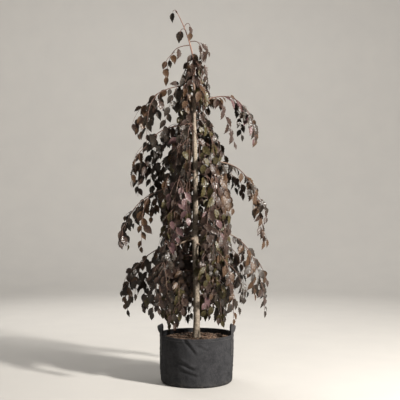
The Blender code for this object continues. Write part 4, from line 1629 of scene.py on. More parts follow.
@dataclass
class Foliage:
    """Places leaves and buds on the sprays and joins them into pieces."""

    growth: Growth
    length: float = 0.082
    length_spread: float = 0.15
    size_at_root: float = 0.86
    size_loss: float = 0.18
    size_swell: float = 0.26
    swell_skew: float = 0.8
    pitch: float = 0.044
    first: float = 0.018
    last: float = 0.008
    sideways: float = 0.50
    along: float = 0.45
    hang: float = 0.72
    turn: float = 0.42
    tries: int = 6
    probe_rows: int = 12
    probe_share: float = 0.92
    cell: float = 0.0060
    bud_chance: float = 0.5
    shapes: tuple[LeafShape, ...] = (
        LeafShape(), LeafShape(droop=0.24, fold=0.24, twist=0.18),
        LeafShape(breadth=0.48, fold=0.42, droop=0.10, twist=-0.15),
        LeafShape(breadth=0.57, fold=0.22, droop=0.20, pleat=0.044, twist=0.10),
        LeafShape(breadth=0.50, fold=0.34, droop=0.28, twist=-0.24))
    taken: set[tuple[int, int, int]] = field(default_factory=set)
    buds: list[tuple[Vector, Vector, float]] = field(default_factory=list)
    leaves: dict[LeafTone, list[LeafPlace]] = field(
        default_factory=lambda: {tone: [] for tone in LeafTone})

    def samples(self, leaf: LeafPlace) -> Array:
        """Close places all over a leaf's blade.

        Args:
            leaf: The leaf.

        Returns:
            Rows of x, y and z.
        """
        across = leaf.way.cross(leaf.facing)
        rows = []
        shape = self.shapes[leaf.shape]
        for row in range(1, self.probe_rows + 1):
            share = row / (self.probe_rows + 1)
            half = shape.half_breadth(share) * leaf.length * self.probe_share
            middle = leaf.root + leaf.way * (shape.stalk + share) * leaf.length
            middle = middle - leaf.facing * shape.droop * share ** 2 * leaf.length
            for column in range(-3, 4):
                rows.append(middle + across * half * column / 3)
        return np.array(rows)

    def cells(self, places: Array) -> set[tuple[int, int, int]]:
        """The small cubes of air that some places lie in."""
        return set(map(tuple, np.floor(places / self.cell).astype(int)))

    def try_leaf(self, arch: Arch, leaf: LeafPlace) -> bool:
        """Take a leaf's room if it is free.

        Args:
            arch: The arch whose air the leaf has to keep to.
            leaf: The leaf.

        Returns:
            True if the leaf found room.
        """
        places = self.samples(leaf)
        cells = self.cells(places)
        if not self.taken.isdisjoint(cells) or self.growth.hides_trunk(places):
            return False
        if not arch.holds(places) or self.growth.touches_limb(places):
            return False
        self.taken |= cells
        return True

    def leaf_at(self, root: Vector, way: Vector, twig: Twig, side: float, share: float,
                draw: random.Random) -> LeafPlace:
        """A leaf on one side of its twig; it leans along the twig and hangs.

        Args:
            root: Where the stalk starts.
            way: The way of the twig there.
            twig: The twig.
            side: -1 or 1, or 0 at the tip.
            share: The leaf's place as a share of the twig.
            draw: The seeded source of chance.

        Returns:
            The leaf's place.
        """
        turn = wander(draw) * self.turn
        sideways = way.cross(twig.facing).normalized() * side * self.sideways
        leaf_way = (sideways + way * self.along + DOWN * self.hang + turn * 0.6).normalized()
        facing = twig.facing + turn
        facing = (facing - leaf_way * facing.dot(leaf_way)).normalized()
        swell = self.size_swell * sin(pi * share ** self.swell_skew)
        size = self.size_at_root - self.size_loss * share + swell
        length = self.length * size * (1.0 + draw.uniform(-1.0, 1.0) * self.length_spread)
        return LeafPlace(root, leaf_way, facing, length, draw.randrange(len(self.shapes)))

    def leaf_out(self, spray: Spray, draw: random.Random) -> None:
        """Give a spray its leaves in two ranks, one at its tip, and its buds.

        Args:
            spray: The spray.
            draw: The seeded source of chance.
        """
        twig = spray.twig
        side = draw.choice((-1.0, 1.0))
        length = line_length(twig.points)
        if twig.order == 1 and self.set_leader_leaves(spray.arch.name, twig.points):
            return
        places = []
        distance = self.first * draw.uniform(0.8, 1.6)
        while distance < length - self.last:
            places.append((distance, side))
            distance += self.pitch / spray.arch.fullness * draw.uniform(0.85, 1.15)
            side = -side
        leafy = 0.0
        buds = []
        for distance, side in places + [(length, 0.0)]:
            root, way = along_line(twig.points, distance)
            for _ in range(self.tries):
                share = min(distance / length, 1.0)
                leaf = self.leaf_at(root, way, twig, side, share, draw)
                if self.try_leaf(spray.arch, leaf):
                    self.leaves[spray.tone].append(leaf)
                    leafy = distance
                    break
            if draw.random() < self.bud_chance:
                bud_way = (way + way.cross(twig.facing) * side * 0.5).normalized()
                buds.append((distance, (root, bud_way, draw.uniform(0.006, 0.011))))
        if twig.order == 3:
            twig.points = self.cut(twig.points, leafy)
            buds = [bud for bud in buds if bud[0] <= leafy]
        self.buds += [bud for _, bud in buds]

    def set_leader_leaves(self, name: str, points: list[Vector]) -> bool:
        """Set the leaves that are laid down one by one for a stem.

        Args:
            name: The name of the stem's arch.
            points: The stem's line.

        Returns:
            True if there are such leaves.
        """
        leaves = [leaf for leaf in LEADER_LEAVES if leaf.arch == name]
        for leaf in leaves:
            root, _ = along_line(points, line_length(points) * leaf.share)
            way = Vector(leaf.way).normalized()
            facing = Vector(leaf.facing)
            facing = (facing - way * facing.dot(way)).normalized()
            placed = LeafPlace(root, way, facing, leaf.length, leaf.shape)
            self.taken |= self.cells(self.samples(placed))
            self.leaves[leaf.tone].append(placed)
        return bool(leaves)

    @staticmethod
    def cut(points: list[Vector], length: float) -> list[Vector]:
        """Cut a line to a length.

        Args:
            points: The line.
            length: The length that stays.

        Returns:
            The line up to there, or nothing if that is no length.
        """
        if length <= 0.0:
            return []
        kept = [points[0]]
        for before, after in zip(points, points[1:]):
            stretch = (after - before).length
            if length <= stretch * 1.02:
                kept.append(before.lerp(after, min(length / stretch, 1.0)))
                break
            kept.append(after)
            length -= stretch
        return kept

    def fill(self) -> None:
        """Leaf out every spray."""
        for index, spray in enumerate(self.growth.sprays):
            self.leaf_out(spray, random.Random(f"{spray.arch.name} leaves {index}"))

    def build_leaves(self, finish: LeafFinish, effects: EffectGroups) -> None:
        """Join all leaves of one tone.

        Args:
            finish: The tone's finish.
            effects: The shared groups.
        """
        shapes = [shape.arrays() for shape in self.shapes]
        leaves = self.leaves[finish.tone]
        blades = []
        for leaf in leaves:
            points, quads, _, _ = shapes[leaf.shape]
            axes = np.array([leaf.way.cross(leaf.facing), leaf.way, leaf.facing]) * leaf.length
            blades.append((points @ axes + np.array(leaf.root), quads))
        obj = joined("leaves_" + finish.tone.value, blades, 62.0)
        blade_map = obj.data.uv_layers.new(name="blade")
        places = np.concatenate([shapes[leaf.shape][2] for leaf in leaves])
        blade_map.uv.foreach_set("vector", places.astype(np.float32).ravel())
        above, below = finish.materials(effects)
        dress(obj, above)
        obj.data.materials.append(below)
        under = np.concatenate([shapes[leaf.shape][3] for leaf in leaves])
        obj.data.polygons.foreach_set("material_index", under)
        LOG.info("%s: %d leaves", obj.name, len(leaves))

    def build_buds(self, material: Material) -> None:
        """Join the slim buds that stand beside the leaf stalks.

        Args:
            material: The buds' material.
        """
        shapes = []
        for root, way, length in self.buds:
            line = [root + way * length * share for share in (0.0, 0.3, 0.65, 1.0)]
            shapes.append(tube(line, [length * share for share in (0.07, 0.13, 0.10, 0.012)], 5))
        dress(joined("buds", shapes, 60.0), material)

    def build_twigs(self, material: Material) -> None:
        """Join every twig, thickest at its root, into a piece that stands for all the masses.

        Args:
            material: The twigs' material.
        """
        shapes = []
        for spray in self.growth.sprays:
            twig = spray.twig
            if twig.order == 0 or len(twig.points) < 2:
                continue
            root_radius = min(twig.root_radius, LIMBS.radius(spray.arch.height) * 0.75)
            radii = taper(len(twig.points), root_radius, min(twig.tip_radius, root_radius))
            shapes.append(tube(twig.points, radii, 6 if twig.order < 3 else 5))
        masses = sorted(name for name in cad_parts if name.startswith("foliage_"))
        dress(joined("twigs", shapes, 70.0), material, masses)


@dataclass
class Woodwork:
    """The trunk and the boughs, with the relief of their bark."""

    trunk_sides: int = 48
    trunk_step: float = 0.009
    trunk_foot: float = 0.294
    bough_sides: int = 14
    bough_step: float = 0.008
    bough_sunk: float = 0.006
    swell: float = 0.55
    swell_length: float = 0.010
    flutes: float = 0.0016
    rings: float = 0.0005
    full_relief_radius: float = 0.016
    least_relief: float = 0.12
    collar_height: float = 0.0035
    collar_width: float = 0.014
    collar_drop: float = 0.004
    knots: int = 15
    knot_size: float = 0.55
    knot_heights: tuple[float, float] = (0.36, 1.9)
    bough_waves: tuple[tuple[float, float], ...] = ((60.0, 0.0007), (190.0, 0.0003))
    wave_seed: int = 1

    def limb(self, name: str, points: Sequence[Vector], radii: Sequence[float],
             sides: int) -> Piece:
        """Start from a cylinder, cut it into rings, and lay the rings along a limb.

        Args:
            name: The new object's name.
            points: The limb's line.
            radii: Its radius at each point.
            sides: Corners of its section.

        Returns:
            The limb.
        """
        obj = started(name, bpy.ops.mesh.primitive_cylinder_add, vertices=sides, radius=1.0,
                      depth=1.0, location=(0.0, 0.0, 0.5))
        rings = 1
        while rings < len(points) - 1:
            cuts = min(7, ceil((len(points) - 1) / rings) - 1)
            with editing(obj, whole=False):
                bpy.ops.mesh.select_mode(type="EDGE")
                bpy.ops.mesh.select_all(action="DESELECT")
            for edge in obj.data.edges:
                heights = [obj.data.vertices[index].co.z for index in edge.vertices]
                edge.select = abs(heights[0] - heights[1]) > 1e-6
            with editing(obj, whole=False):
                bpy.ops.mesh.subdivide(number_cuts=cuts)
            rings *= cuts + 1
        move_points(obj, self.laid(points_of(obj), points, radii))
        face_outwards(obj)
        return obj

    @staticmethod
    def laid(rows: Array, points: Sequence[Vector], radii: Sequence[float]) -> Array:
        """Lay the points of an upright unit cylinder along a limb.

        Args:
            rows: The cylinder's points.
            points: The limb's line.
            radii: Its radius at each point.

        Returns:
            The points on the limb.
        """
        line = np.array(points)
        ways = ways_along(line)
        spoke = np.array((1.0, 0.0, 0.0)) if abs(ways[0][0]) < 0.8 else np.array((0.0, 1.0, 0.0))
        spokes = carried(spoke, ways)
        at = rows[:, 2] * (len(line) - 1)
        centres, outward, across = (
            np.stack([np.interp(at, np.arange(len(line)), column) for column in values.T], axis=1)
            for values in (line, spokes, np.cross(ways, spokes)))
        radius = np.interp(at, np.arange(len(line)), radii)[:, None]
        return centres + radius * (rows[:, :1] * outward + rows[:, 1:2] * across)

    def trunk(self, material: Material) -> None:
        """Build the trunk, with flutes, rings, knots, and a collar under every bough.

        Args:
            material: The bark.
        """
        count = round((LIMBS.tip_height - self.trunk_foot) / self.trunk_step)
        heights = np.linspace(self.trunk_foot, LIMBS.tip_height, count + 1)
        x, y, radii = LIMBS.line(heights)
        line = [Vector(place) for place in zip(x, y, heights)]
        obj = self.limb("trunk_bark", line, radii, self.trunk_sides)
        points = points_of(obj)
        centre_x, centre_y, radius = LIMBS.line(points[:, 2])
        outward = np.stack([points[:, 0] - centre_x, points[:, 1] - centre_y], axis=1)
        outward /= np.maximum(np.linalg.norm(outward, axis=1, keepdims=True), 1e-6)
        turns = np.arctan2(outward[:, 1], outward[:, 0])
        rise = np.array([self.relief(turn, height) for turn, height in zip(turns, points[:, 2])])
        rise *= np.clip(radius / self.full_relief_radius, self.least_relief, 1.0)
        rise += self.collars(turns, points[:, 2], radius)
        points[:, :2] += outward * rise[:, None]
        move_points(obj, points)
        smooth(obj, 80.0)
        dress(obj, material, ["trunk"])

    def relief(self, turn: float, height: float) -> float:
        """Height of the bark's flutes and rings at a place on the trunk.

        Args:
            turn: The way round the trunk.
            height: The height on it.

        Returns:
            The relief there.
        """
        x, y = cos(turn), sin(turn)
        flutes = noise.noise(Vector((x * 1.3, y * 1.3, height * 2.6)))
        rings = noise.noise(Vector((x * 0.9, y * 0.9, height * 46.0)))
        return flutes * self.flutes + rings * self.rings

    def collars(self, turns: Array, heights: Array, radii: Array) -> Array:
        """Height of the collars at the boughs' roots and of the healed knots.

        Args:
            turns: Each place's way round the trunk.
            heights: Each place's height.
            radii: The trunk's radius there.

        Returns:
            The rise at each place.
        """
        draw = random.Random("knots")
        spots = [(radians(arch.azimuth), arch.height - self.collar_drop, 1.0)
                 for arch in OUTER_ARCHES]
        spots += [(draw.uniform(-pi, pi), draw.uniform(*self.knot_heights),
                   self.knot_size) for _ in range(self.knots)]
        rise = np.zeros(len(turns))
        for azimuth, height, size in spots:
            aside = (turns - azimuth + pi) % tau - pi
            distance = np.hypot(aside * radii, (heights - height) * 0.8) / self.collar_width
            rise += size * self.collar_height * np.exp(-distance ** 2)
            if size < 1.0:
                rise -= size * self.collar_height * 0.9 * np.exp(-(distance * 2.6) ** 2)
        return rise

    def boughs(self, material: Material) -> None:
        """Build the boughs, each swollen where it leaves the trunk and a little uneven.

        Args:
            material: The bark of young limbs.
        """
        noise.seed_set(self.wave_seed)
        for arch in OUTER_ARCHES:
            start, facing, _ = arch.root()
            line = [start - facing * self.bough_sunk]
            line += arch.stretch(0.0, arch.bare, self.bough_step)
            radii = [radius * (1.0 + self.swell * exp(-(point - start).length / self.swell_length))
                     for radius, point in zip(arch.bough_radii(len(line)), line)]
            obj = self.limb("limb_" + arch.name, line, radii, self.bough_sides)
            places = [Vector(point) for point in points_of(obj)]
            points = points_of(obj)
            for scale, size in self.bough_waves:
                points += np.array([noise.noise_vector(place * scale) for place in places]) * size
            move_points(obj, points)
            smooth(obj, 80.0)
            dress(obj, material, ["bough_" + arch.name])


@dataclass(frozen=True)
class Crease:
    """A crease in the bag's wall between two places, given along the wall and up it."""

    start: tuple[float, float]
    end: tuple[float, float]
    width: float
    depth: float


@dataclass
class GrowBag:
    """The felt bag: a soft lofted tub with creases, a turned hem and its stitches."""

    height: float = 0.330
    top_radius: float = 0.254
    foot_radius: float = 0.246
    foot_round: float = 0.018
    wall: float = 0.004
    sides: int = 216
    rows: int = 44
    hem_depth: float = 0.022
    hem_thickness: float = 0.0012
    hem_rise: float = 0.0006
    hem_round: float = 0.004
    hem_flat: float = 0.45
    belly: float = 0.004
    rim_sag: float = 0.005
    crinkle: float = 0.0013
    crinkles: tuple[tuple[float, float], ...] = ((24.0, 0.9), (55.0, 0.5))
    calm: float = 0.02
    foot_fade: float = 0.012
    top_fade: float = 0.03
    inner_fade: float = 0.20
    stitch_pitch: float = 0.0065
    stitch_bow: tuple[tuple[float, float], ...] = (
        (0.10, -0.0004), (0.26, 0.0004), (0.5, 0.0006), (0.74, 0.0004), (0.90, -0.0004))
    thread_radius: float = 0.0005
    first_ring: float = 0.97
    guessed_creases: int = 26
    wave_counts: tuple[int, ...] = (3, 5, 8, 13)
    wave_sizes: tuple[float, ...] = (0.0024, 0.0016, 0.0010, 0.0006)
    creases: tuple[Crease, ...] = (
        Crease((-0.077, 0.322), (-0.017, 0.237), 0.010, 0.0050),
        Crease((-0.105, 0.168), (-0.030, 0.126), 0.011, 0.0055),
        Crease((-0.091, 0.113), (-0.010, 0.080), 0.010, 0.0045),
        Crease((0.016, 0.277), (0.056, 0.257), 0.008, 0.0030),
    )

    def __post_init__(self) -> None:
        """Deal out the creases of the sides and the back."""
        draw = random.Random("bag creases")
        made = list(self.creases)
        for _ in range(self.guessed_creases):
            along = draw.choice((-1.0, 1.0)) * draw.uniform(0.13, 0.76)
            height = draw.uniform(0.05, 0.29)
            slope = draw.uniform(-0.9, 0.5)
            length = draw.uniform(0.035, 0.095)
            made.append(Crease((along, height),
                               (along + length * cos(slope), height + length * sin(slope)),
                               draw.uniform(0.007, 0.013), draw.uniform(0.0012, 0.0032)))
        self.creases = tuple(made)
        self.waves = [(draw.uniform(0.0, tau), draw.uniform(0.0, tau))
                      for _ in self.wave_counts]

    def radius(self, height: float) -> float:
        """The wall's outer radius at a height, before it sags."""
        share = (height - self.foot_round) / (self.height - self.foot_round)
        return self.foot_radius + (self.top_radius - self.foot_radius) * max(share, 0.0)

    def slump(self, points: Array) -> Array:
        """Let points on the bag follow its belly, its sagging rim and its creases.

        Args:
            points: Rows of x, y and z on or near the wall.

        Returns:
            The moved points.
        """
        turns = np.arctan2(points[:, 0], -points[:, 1])
        heights = np.clip(points[:, 2], 0.0, self.height)
        share = heights / self.height
        outward = self.belly * np.sin(np.pi * share) ** 1.3
        for count, size, (first, second) in zip(self.wave_counts, self.wave_sizes, self.waves):
            outward += size * np.sin(count * turns + first) * np.sin(
                np.pi * share * (1.0 + count / 6.0) + second) * np.sin(np.pi * share) ** 0.5
        along = turns * self.foot_radius
        for crease in self.creases:
            outward += self.crease_rise(crease, along, heights)
        outward *= np.clip(heights / self.foot_fade, 0.0, 1.0)
        fade = np.clip(1.0 - (points[:, 2] - self.height) / self.top_fade, 0.0, 1.0)
        moved = points.copy()
        radius = np.maximum(np.hypot(points[:, 0], points[:, 1]), 1e-6)
        outward = outward * fade * np.clip((radius - self.inner_fade) / self.top_fade,
                                           0.0, 1.0)
        moved[:, :2] *= (1.0 + outward / radius)[:, None]
        moved[:, 2] -= self.rim_sag * np.cos(turns) ** 2 * share ** 3 * fade
        return moved

    @staticmethod
    def crease_rise(crease: Crease, along: Array, heights: Array) -> Array:
        """How far a crease moves the wall: a valley with a soft lip above it.

        Args:
            crease: The crease.
            along: Each place's way round the wall, in metres.
            heights: Each place's height.

        Returns:
            The rise at each place.
        """
        start, end = np.array(crease.start), np.array(crease.end)
        way = (end - start) / np.linalg.norm(end - start)
        length = np.linalg.norm(end - start)
        offset_x = along - start[0]
        offset_z = heights - start[1]
        forth = offset_x * way[0] + offset_z * way[1]
        aside = -offset_x * way[1] + offset_z * way[0]
        beyond = np.maximum(np.maximum(-forth, forth - length), 0.0)
        fade = np.exp(-(beyond / (crease.width * 1.5)) ** 2)
        valley = np.exp(-(aside / crease.width) ** 2)
        lip = np.exp(-((aside - crease.width * 1.9) / (crease.width * 1.1)) ** 2)
        return crease.depth * fade * (0.75 * lip - valley)

    def crinkled(self, points: Array) -> Array:
        """Roughen the wall with small crinkles that die out at the hem and the foot.

        Args:
            points: Rows of x, y and z on the wall.

        Returns:
            The moved points.
        """
        moved = points.copy()
        for index, point in enumerate(points):
            size = sum(noise.noise(Vector(point) * scale) * share
                       for scale, share in self.crinkles)
            below_hem = self.height - self.hem_depth - point[2]
            calm = min(point[2] / self.calm, below_hem / self.calm, 1.0)
            moved[index, :2] *= 1.0 + self.crinkle * size * max(calm, 0.0) / self.top_radius
        return moved

    def shell(self, material: Material) -> None:
        """Build the tub, extruded ring by ring from its base and thickened inwards.

        Args:
            material: The felt.
        """
        foot_centre = self.foot_radius - self.foot_round
        first = foot_centre * self.first_ring
        obj = started("bag_shell", bpy.ops.mesh.primitive_circle_add, vertices=self.sides,
                      radius=first, fill_type="NGON", location=(0.0, 0.0, 0.0))
        profile = [(foot_centre, 0.0)] + quarter_round(foot_centre, self.foot_round, 6)
        for row in range(1, self.rows + 1):
            height = self.foot_round + (self.height - self.foot_round) * row / self.rows
            profile.append((self.radius(height), height))
        with editing(obj):
            extrude_rings((first, 0.0), profile)
            bpy.ops.mesh.delete(type="ONLY_FACE")
        face_outwards(obj)
        move_points(obj, self.crinkled(self.slump(points_of(obj))))
        wall = obj.modifiers.new("wall", "SOLIDIFY")
        wall.thickness = self.wall
        wall.offset = -1.0
        apply_modifiers(obj)
        smooth(obj, 55.0)
        dress(obj, material, ["grow_bag"])

    def hem(self, material: Material) -> None:
        """Build the turned hem, spun round the rim from its section.

        Args:
            material: The felt.
        """
        outer = self.top_radius + self.hem_thickness
        inner = self.top_radius - self.wall - self.hem_thickness
        foot = self.height - self.hem_depth
        top = self.height + self.hem_rise
        obj = started("bag_hem", bpy.ops.mesh.primitive_plane_add, size=1.0,
                      location=(0.0, 0.0, 0.0))
        low_outer = self.radius(foot) + self.hem_thickness
        low_inner = inner - (self.top_radius - self.radius(foot))
        section = ((low_outer, foot), (outer, top), (low_inner, foot), (inner, top))
        move_points(obj, np.array([(radius, 0.0, height) for radius, height in section]))
        with editing(obj):
            bpy.ops.mesh.subdivide(number_cuts=4)
        points = points_of(obj)
        middle = (outer + inner) / 2
        rounding = np.clip((top - points[:, 2]) / self.hem_round, 0.0, 1.0) ** 0.5
        breadth = self.hem_flat + (1.0 - self.hem_flat) * rounding
        points[:, 0] = middle + (points[:, 0] - middle) * breadth
        move_points(obj, points)
        with editing(obj):
            bpy.ops.mesh.spin(steps=self.sides, angle=tau, center=(0.0, 0.0, 0.0),
                              axis=(0.0, 0.0, 1.0))
        face_outwards(obj)
        move_points(obj, self.slump(points_of(obj)))
        smooth(obj, 50.0)
        dress(obj, material)

    def stitch_line(self, name: str, places: Sequence[Vector], facings: Sequence[Vector],
                    material: Material) -> None:
        """Sew a row of stitches along a line.

        Args:
            name: The piece's name.
            places: Where each stitch starts and the last one ends.
            facings: The way out of the cloth at each place.
            material: The thread.
        """
        shapes = []
        for start, end, lift in zip(places, places[1:], facings):
            if (end - start).length > self.stitch_pitch * 1.6:
                continue
            line = [start.lerp(end, share) + lift * rise for share, rise in self.stitch_bow]
            shapes.append(tube(line, [self.thread_radius] * len(line), 5))
        dress(joined(name, shapes, 80.0), material)

    def hem_stitches(self, material: Material) -> None:
        """Sew the row of stitches that holds the hem.

        Args:
            material: The thread.
        """
        height = self.height - self.hem_depth + 0.0035
        radius = self.radius(height) + self.hem_thickness
        count = round(tau * radius / self.stitch_pitch)
        turns = np.linspace(0.0, tau, count + 1)
        ring = np.stack([radius * np.cos(turns), radius * np.sin(turns),
                         np.full(len(turns), height)], axis=1)
        places = [Vector(point) for point in self.slump(ring)]
        facings = [Vector((place.x, place.y, 0.0)).normalized() for place in places]
        self.stitch_line("hem_stitches", places, facings, material)


@dataclass
class Handle:
    """A webbing handle: two legs sewn to the wall and a loop that stands over the rim."""

    bag: GrowBag
    name: str
    node: str
    side: float
    width: float = 0.036
    thickness: float = 0.003
    leg_turn: float = 20.0
    leg_foot: float = 0.190
    top: float = 0.394
    lean: float = 0.014
    bare_rise: float = 0.012
    step_out: float = 0.006
    twist: float = 64.0
    twist_ease: float = 0.8
    flat: float = cos(pi / 36)
    leg_rows: int = 18
    loop_rows: int = 40
    edge_inset: float = 0.0006
    face_inset: float = 0.0004
    cup: float = 0.0010
    rounding: float = 0.0011
    sewn_height: float = 0.034
    sewn_pitch: float = 0.0042

    def leg(self, sign: float, height: float) -> tuple[Vector, Vector, Vector]:
        """Centre, width way and face way of a leg at a height.

        Args:
            sign: -1 for the first leg and 1 for the second.
            height: The height on the wall.

        Returns:
            The three of them.
        """
        turn = radians(self.leg_turn) * sign
        outward = Vector((cos(turn), sin(turn), 0.0))
        hem_foot = self.bag.height - self.bag.hem_depth
        over_hem = (self.bag.top_radius + self.bag.hem_thickness + GAP + self.thickness / 2)
        on_wall = self.bag.radius(height) + GAP + self.thickness / 2
        rise = min(max((height - hem_foot + 2 * self.step_out) / self.step_out, 0.0), 1.0)
        distance = (on_wall + (over_hem - on_wall) * rise) * self.flat
        return (outward * distance + UP * height, outward.cross(DOWN * sign).normalized(), outward)

    def loop(self, share: float) -> tuple[Vector, Vector, Vector]:
        """Centre, width way and face way of the free loop.

        Args:
            share: 0 at the first leg and 1 at the second.

        Returns:
            The three of them.
        """
        leg = radians(self.leg_turn)
        start = self.bag.height + self.bare_rise
        lay = self.bag.hem_thickness + GAP + self.thickness / 2
        distance = (self.bag.top_radius + lay) * self.flat
        swing = pi * share
        rise = sin(swing)
        half_span = distance * sin(leg)
        twist = radians(self.twist) * rise ** self.twist_ease
        climb = self.top - start - self.width / 2 * cos(radians(self.twist))
        centre = Vector((distance * cos(leg) + self.lean * rise, -half_span * cos(swing),
                         start + (climb - self.thickness / 2) * rise))
        along = Vector((self.lean * cos(swing), half_span * sin(swing),
                        climb * cos(swing))).normalized()
        turn = leg * (2.0 * share - 1.0)
        outward = Vector((cos(turn), sin(turn), 0.0))
        outward = (outward - along * outward.dot(along)).normalized()
        upward = along.cross(outward)
        face = outward * cos(twist) - upward * sin(twist)
        return centre, face.cross(along).normalized(), face.normalized()

    def sections(self) -> list[tuple[Vector, Vector, Vector]]:
        """Every section of the strap.

        Returns:
            Centre, width way and face way of each, from one leg's foot to the other's.
        """
        heights = np.linspace(self.leg_foot, self.bag.height, self.leg_rows + 1)
        made = [self.leg(-1.0, float(height)) for height in heights]
        made += [self.loop(step / self.loop_rows) for step in range(self.loop_rows + 1)]
        made += [self.leg(1.0, float(height)) for height in reversed(heights)]
        return made

    def build(self, webbing: Material, thread: Material) -> None:
        """Lay a grid along the strap, thicken it and round its edges, then sew it on.

        Args:
            webbing: The strap's material.
            thread: The stitches' material.
        """
        sections = self.sections()
        count = len(sections)
        obj = started(self.name, bpy.ops.mesh.primitive_grid_add, x_subdivisions=6,
                      y_subdivisions=count - 1, size=2.0, location=(0.0, 0.0, 0.0))
        points = points_of(obj)
        obj.data.uv_layers[0].name = "strap"
        centres, widths, faces = (np.array(part) for part in zip(*sections))
        rows = np.rint((points[:, 1] + 1.0) / 2.0 * (count - 1)).astype(int)
        offsets = points[:, 0] * (self.width - 2.0 * self.edge_inset) / 2
        cup = -self.cup * points[:, 0] ** 2
        placed = centres[rows] + widths[rows] * offsets[:, None] + faces[rows] * cup[:, None]
        placed[:, :2] *= self.side
        move_points(obj, self.bag.slump(placed))
        face_outwards(obj)
        body = obj.modifiers.new("body", "SOLIDIFY")
        body.thickness = self.thickness - self.face_inset
        body.offset = 0.0
        edges = obj.modifiers.new("edges", "BEVEL")
        edges.width = self.rounding
        edges.segments = 3
        edges.limit_method = "ANGLE"
        edges.angle_limit = radians(50.0)
        apply_modifiers(obj)
        face_outwards(obj)
        smooth(obj, 60.0)
        dress(obj, webbing, [self.node])
        self.sew(thread)

    def sew(self, thread: Material) -> None:
        """Sew a box with a cross on each leg.

        Args:
            thread: The stitches' material.
        """
        half = self.width / 2 - 0.004
        low = self.leg_foot + 0.005
        high = low + self.sewn_height
        route = ((-half, low), (half, low), (half, high), (-half, high), (-half, low),
                 (half, high), (half, low), (-half, high))
        for sign, tag in ((-1.0, "a"), (1.0, "b")):
            places, facings = [], []
            for (x_start, z_start), (x_end, z_end) in zip(route, route[1:]):
                run = hypot(x_end - x_start, z_end - z_start)
                steps = max(1, round(run / self.sewn_pitch))
                for step in range(steps):
                    share = step / steps
                    across = x_start + (x_end - x_start) * share
                    centre, width, face = self.leg(sign, z_start + (z_end - z_start) * share)
                    place = centre + width * across + face * (self.thickness / 2 - 0.0001)
                    place.x *= self.side
                    place.y *= self.side
                    places.append(place)
                    facings.append(Vector((face.x * self.side, face.y * self.side, 0.0)))
            rows = self.bag.slump(np.array(places))
            self.bag.stitch_line(f"{self.name}_stitches_{tag}", [Vector(row) for row in rows],
                                 facings, thread)


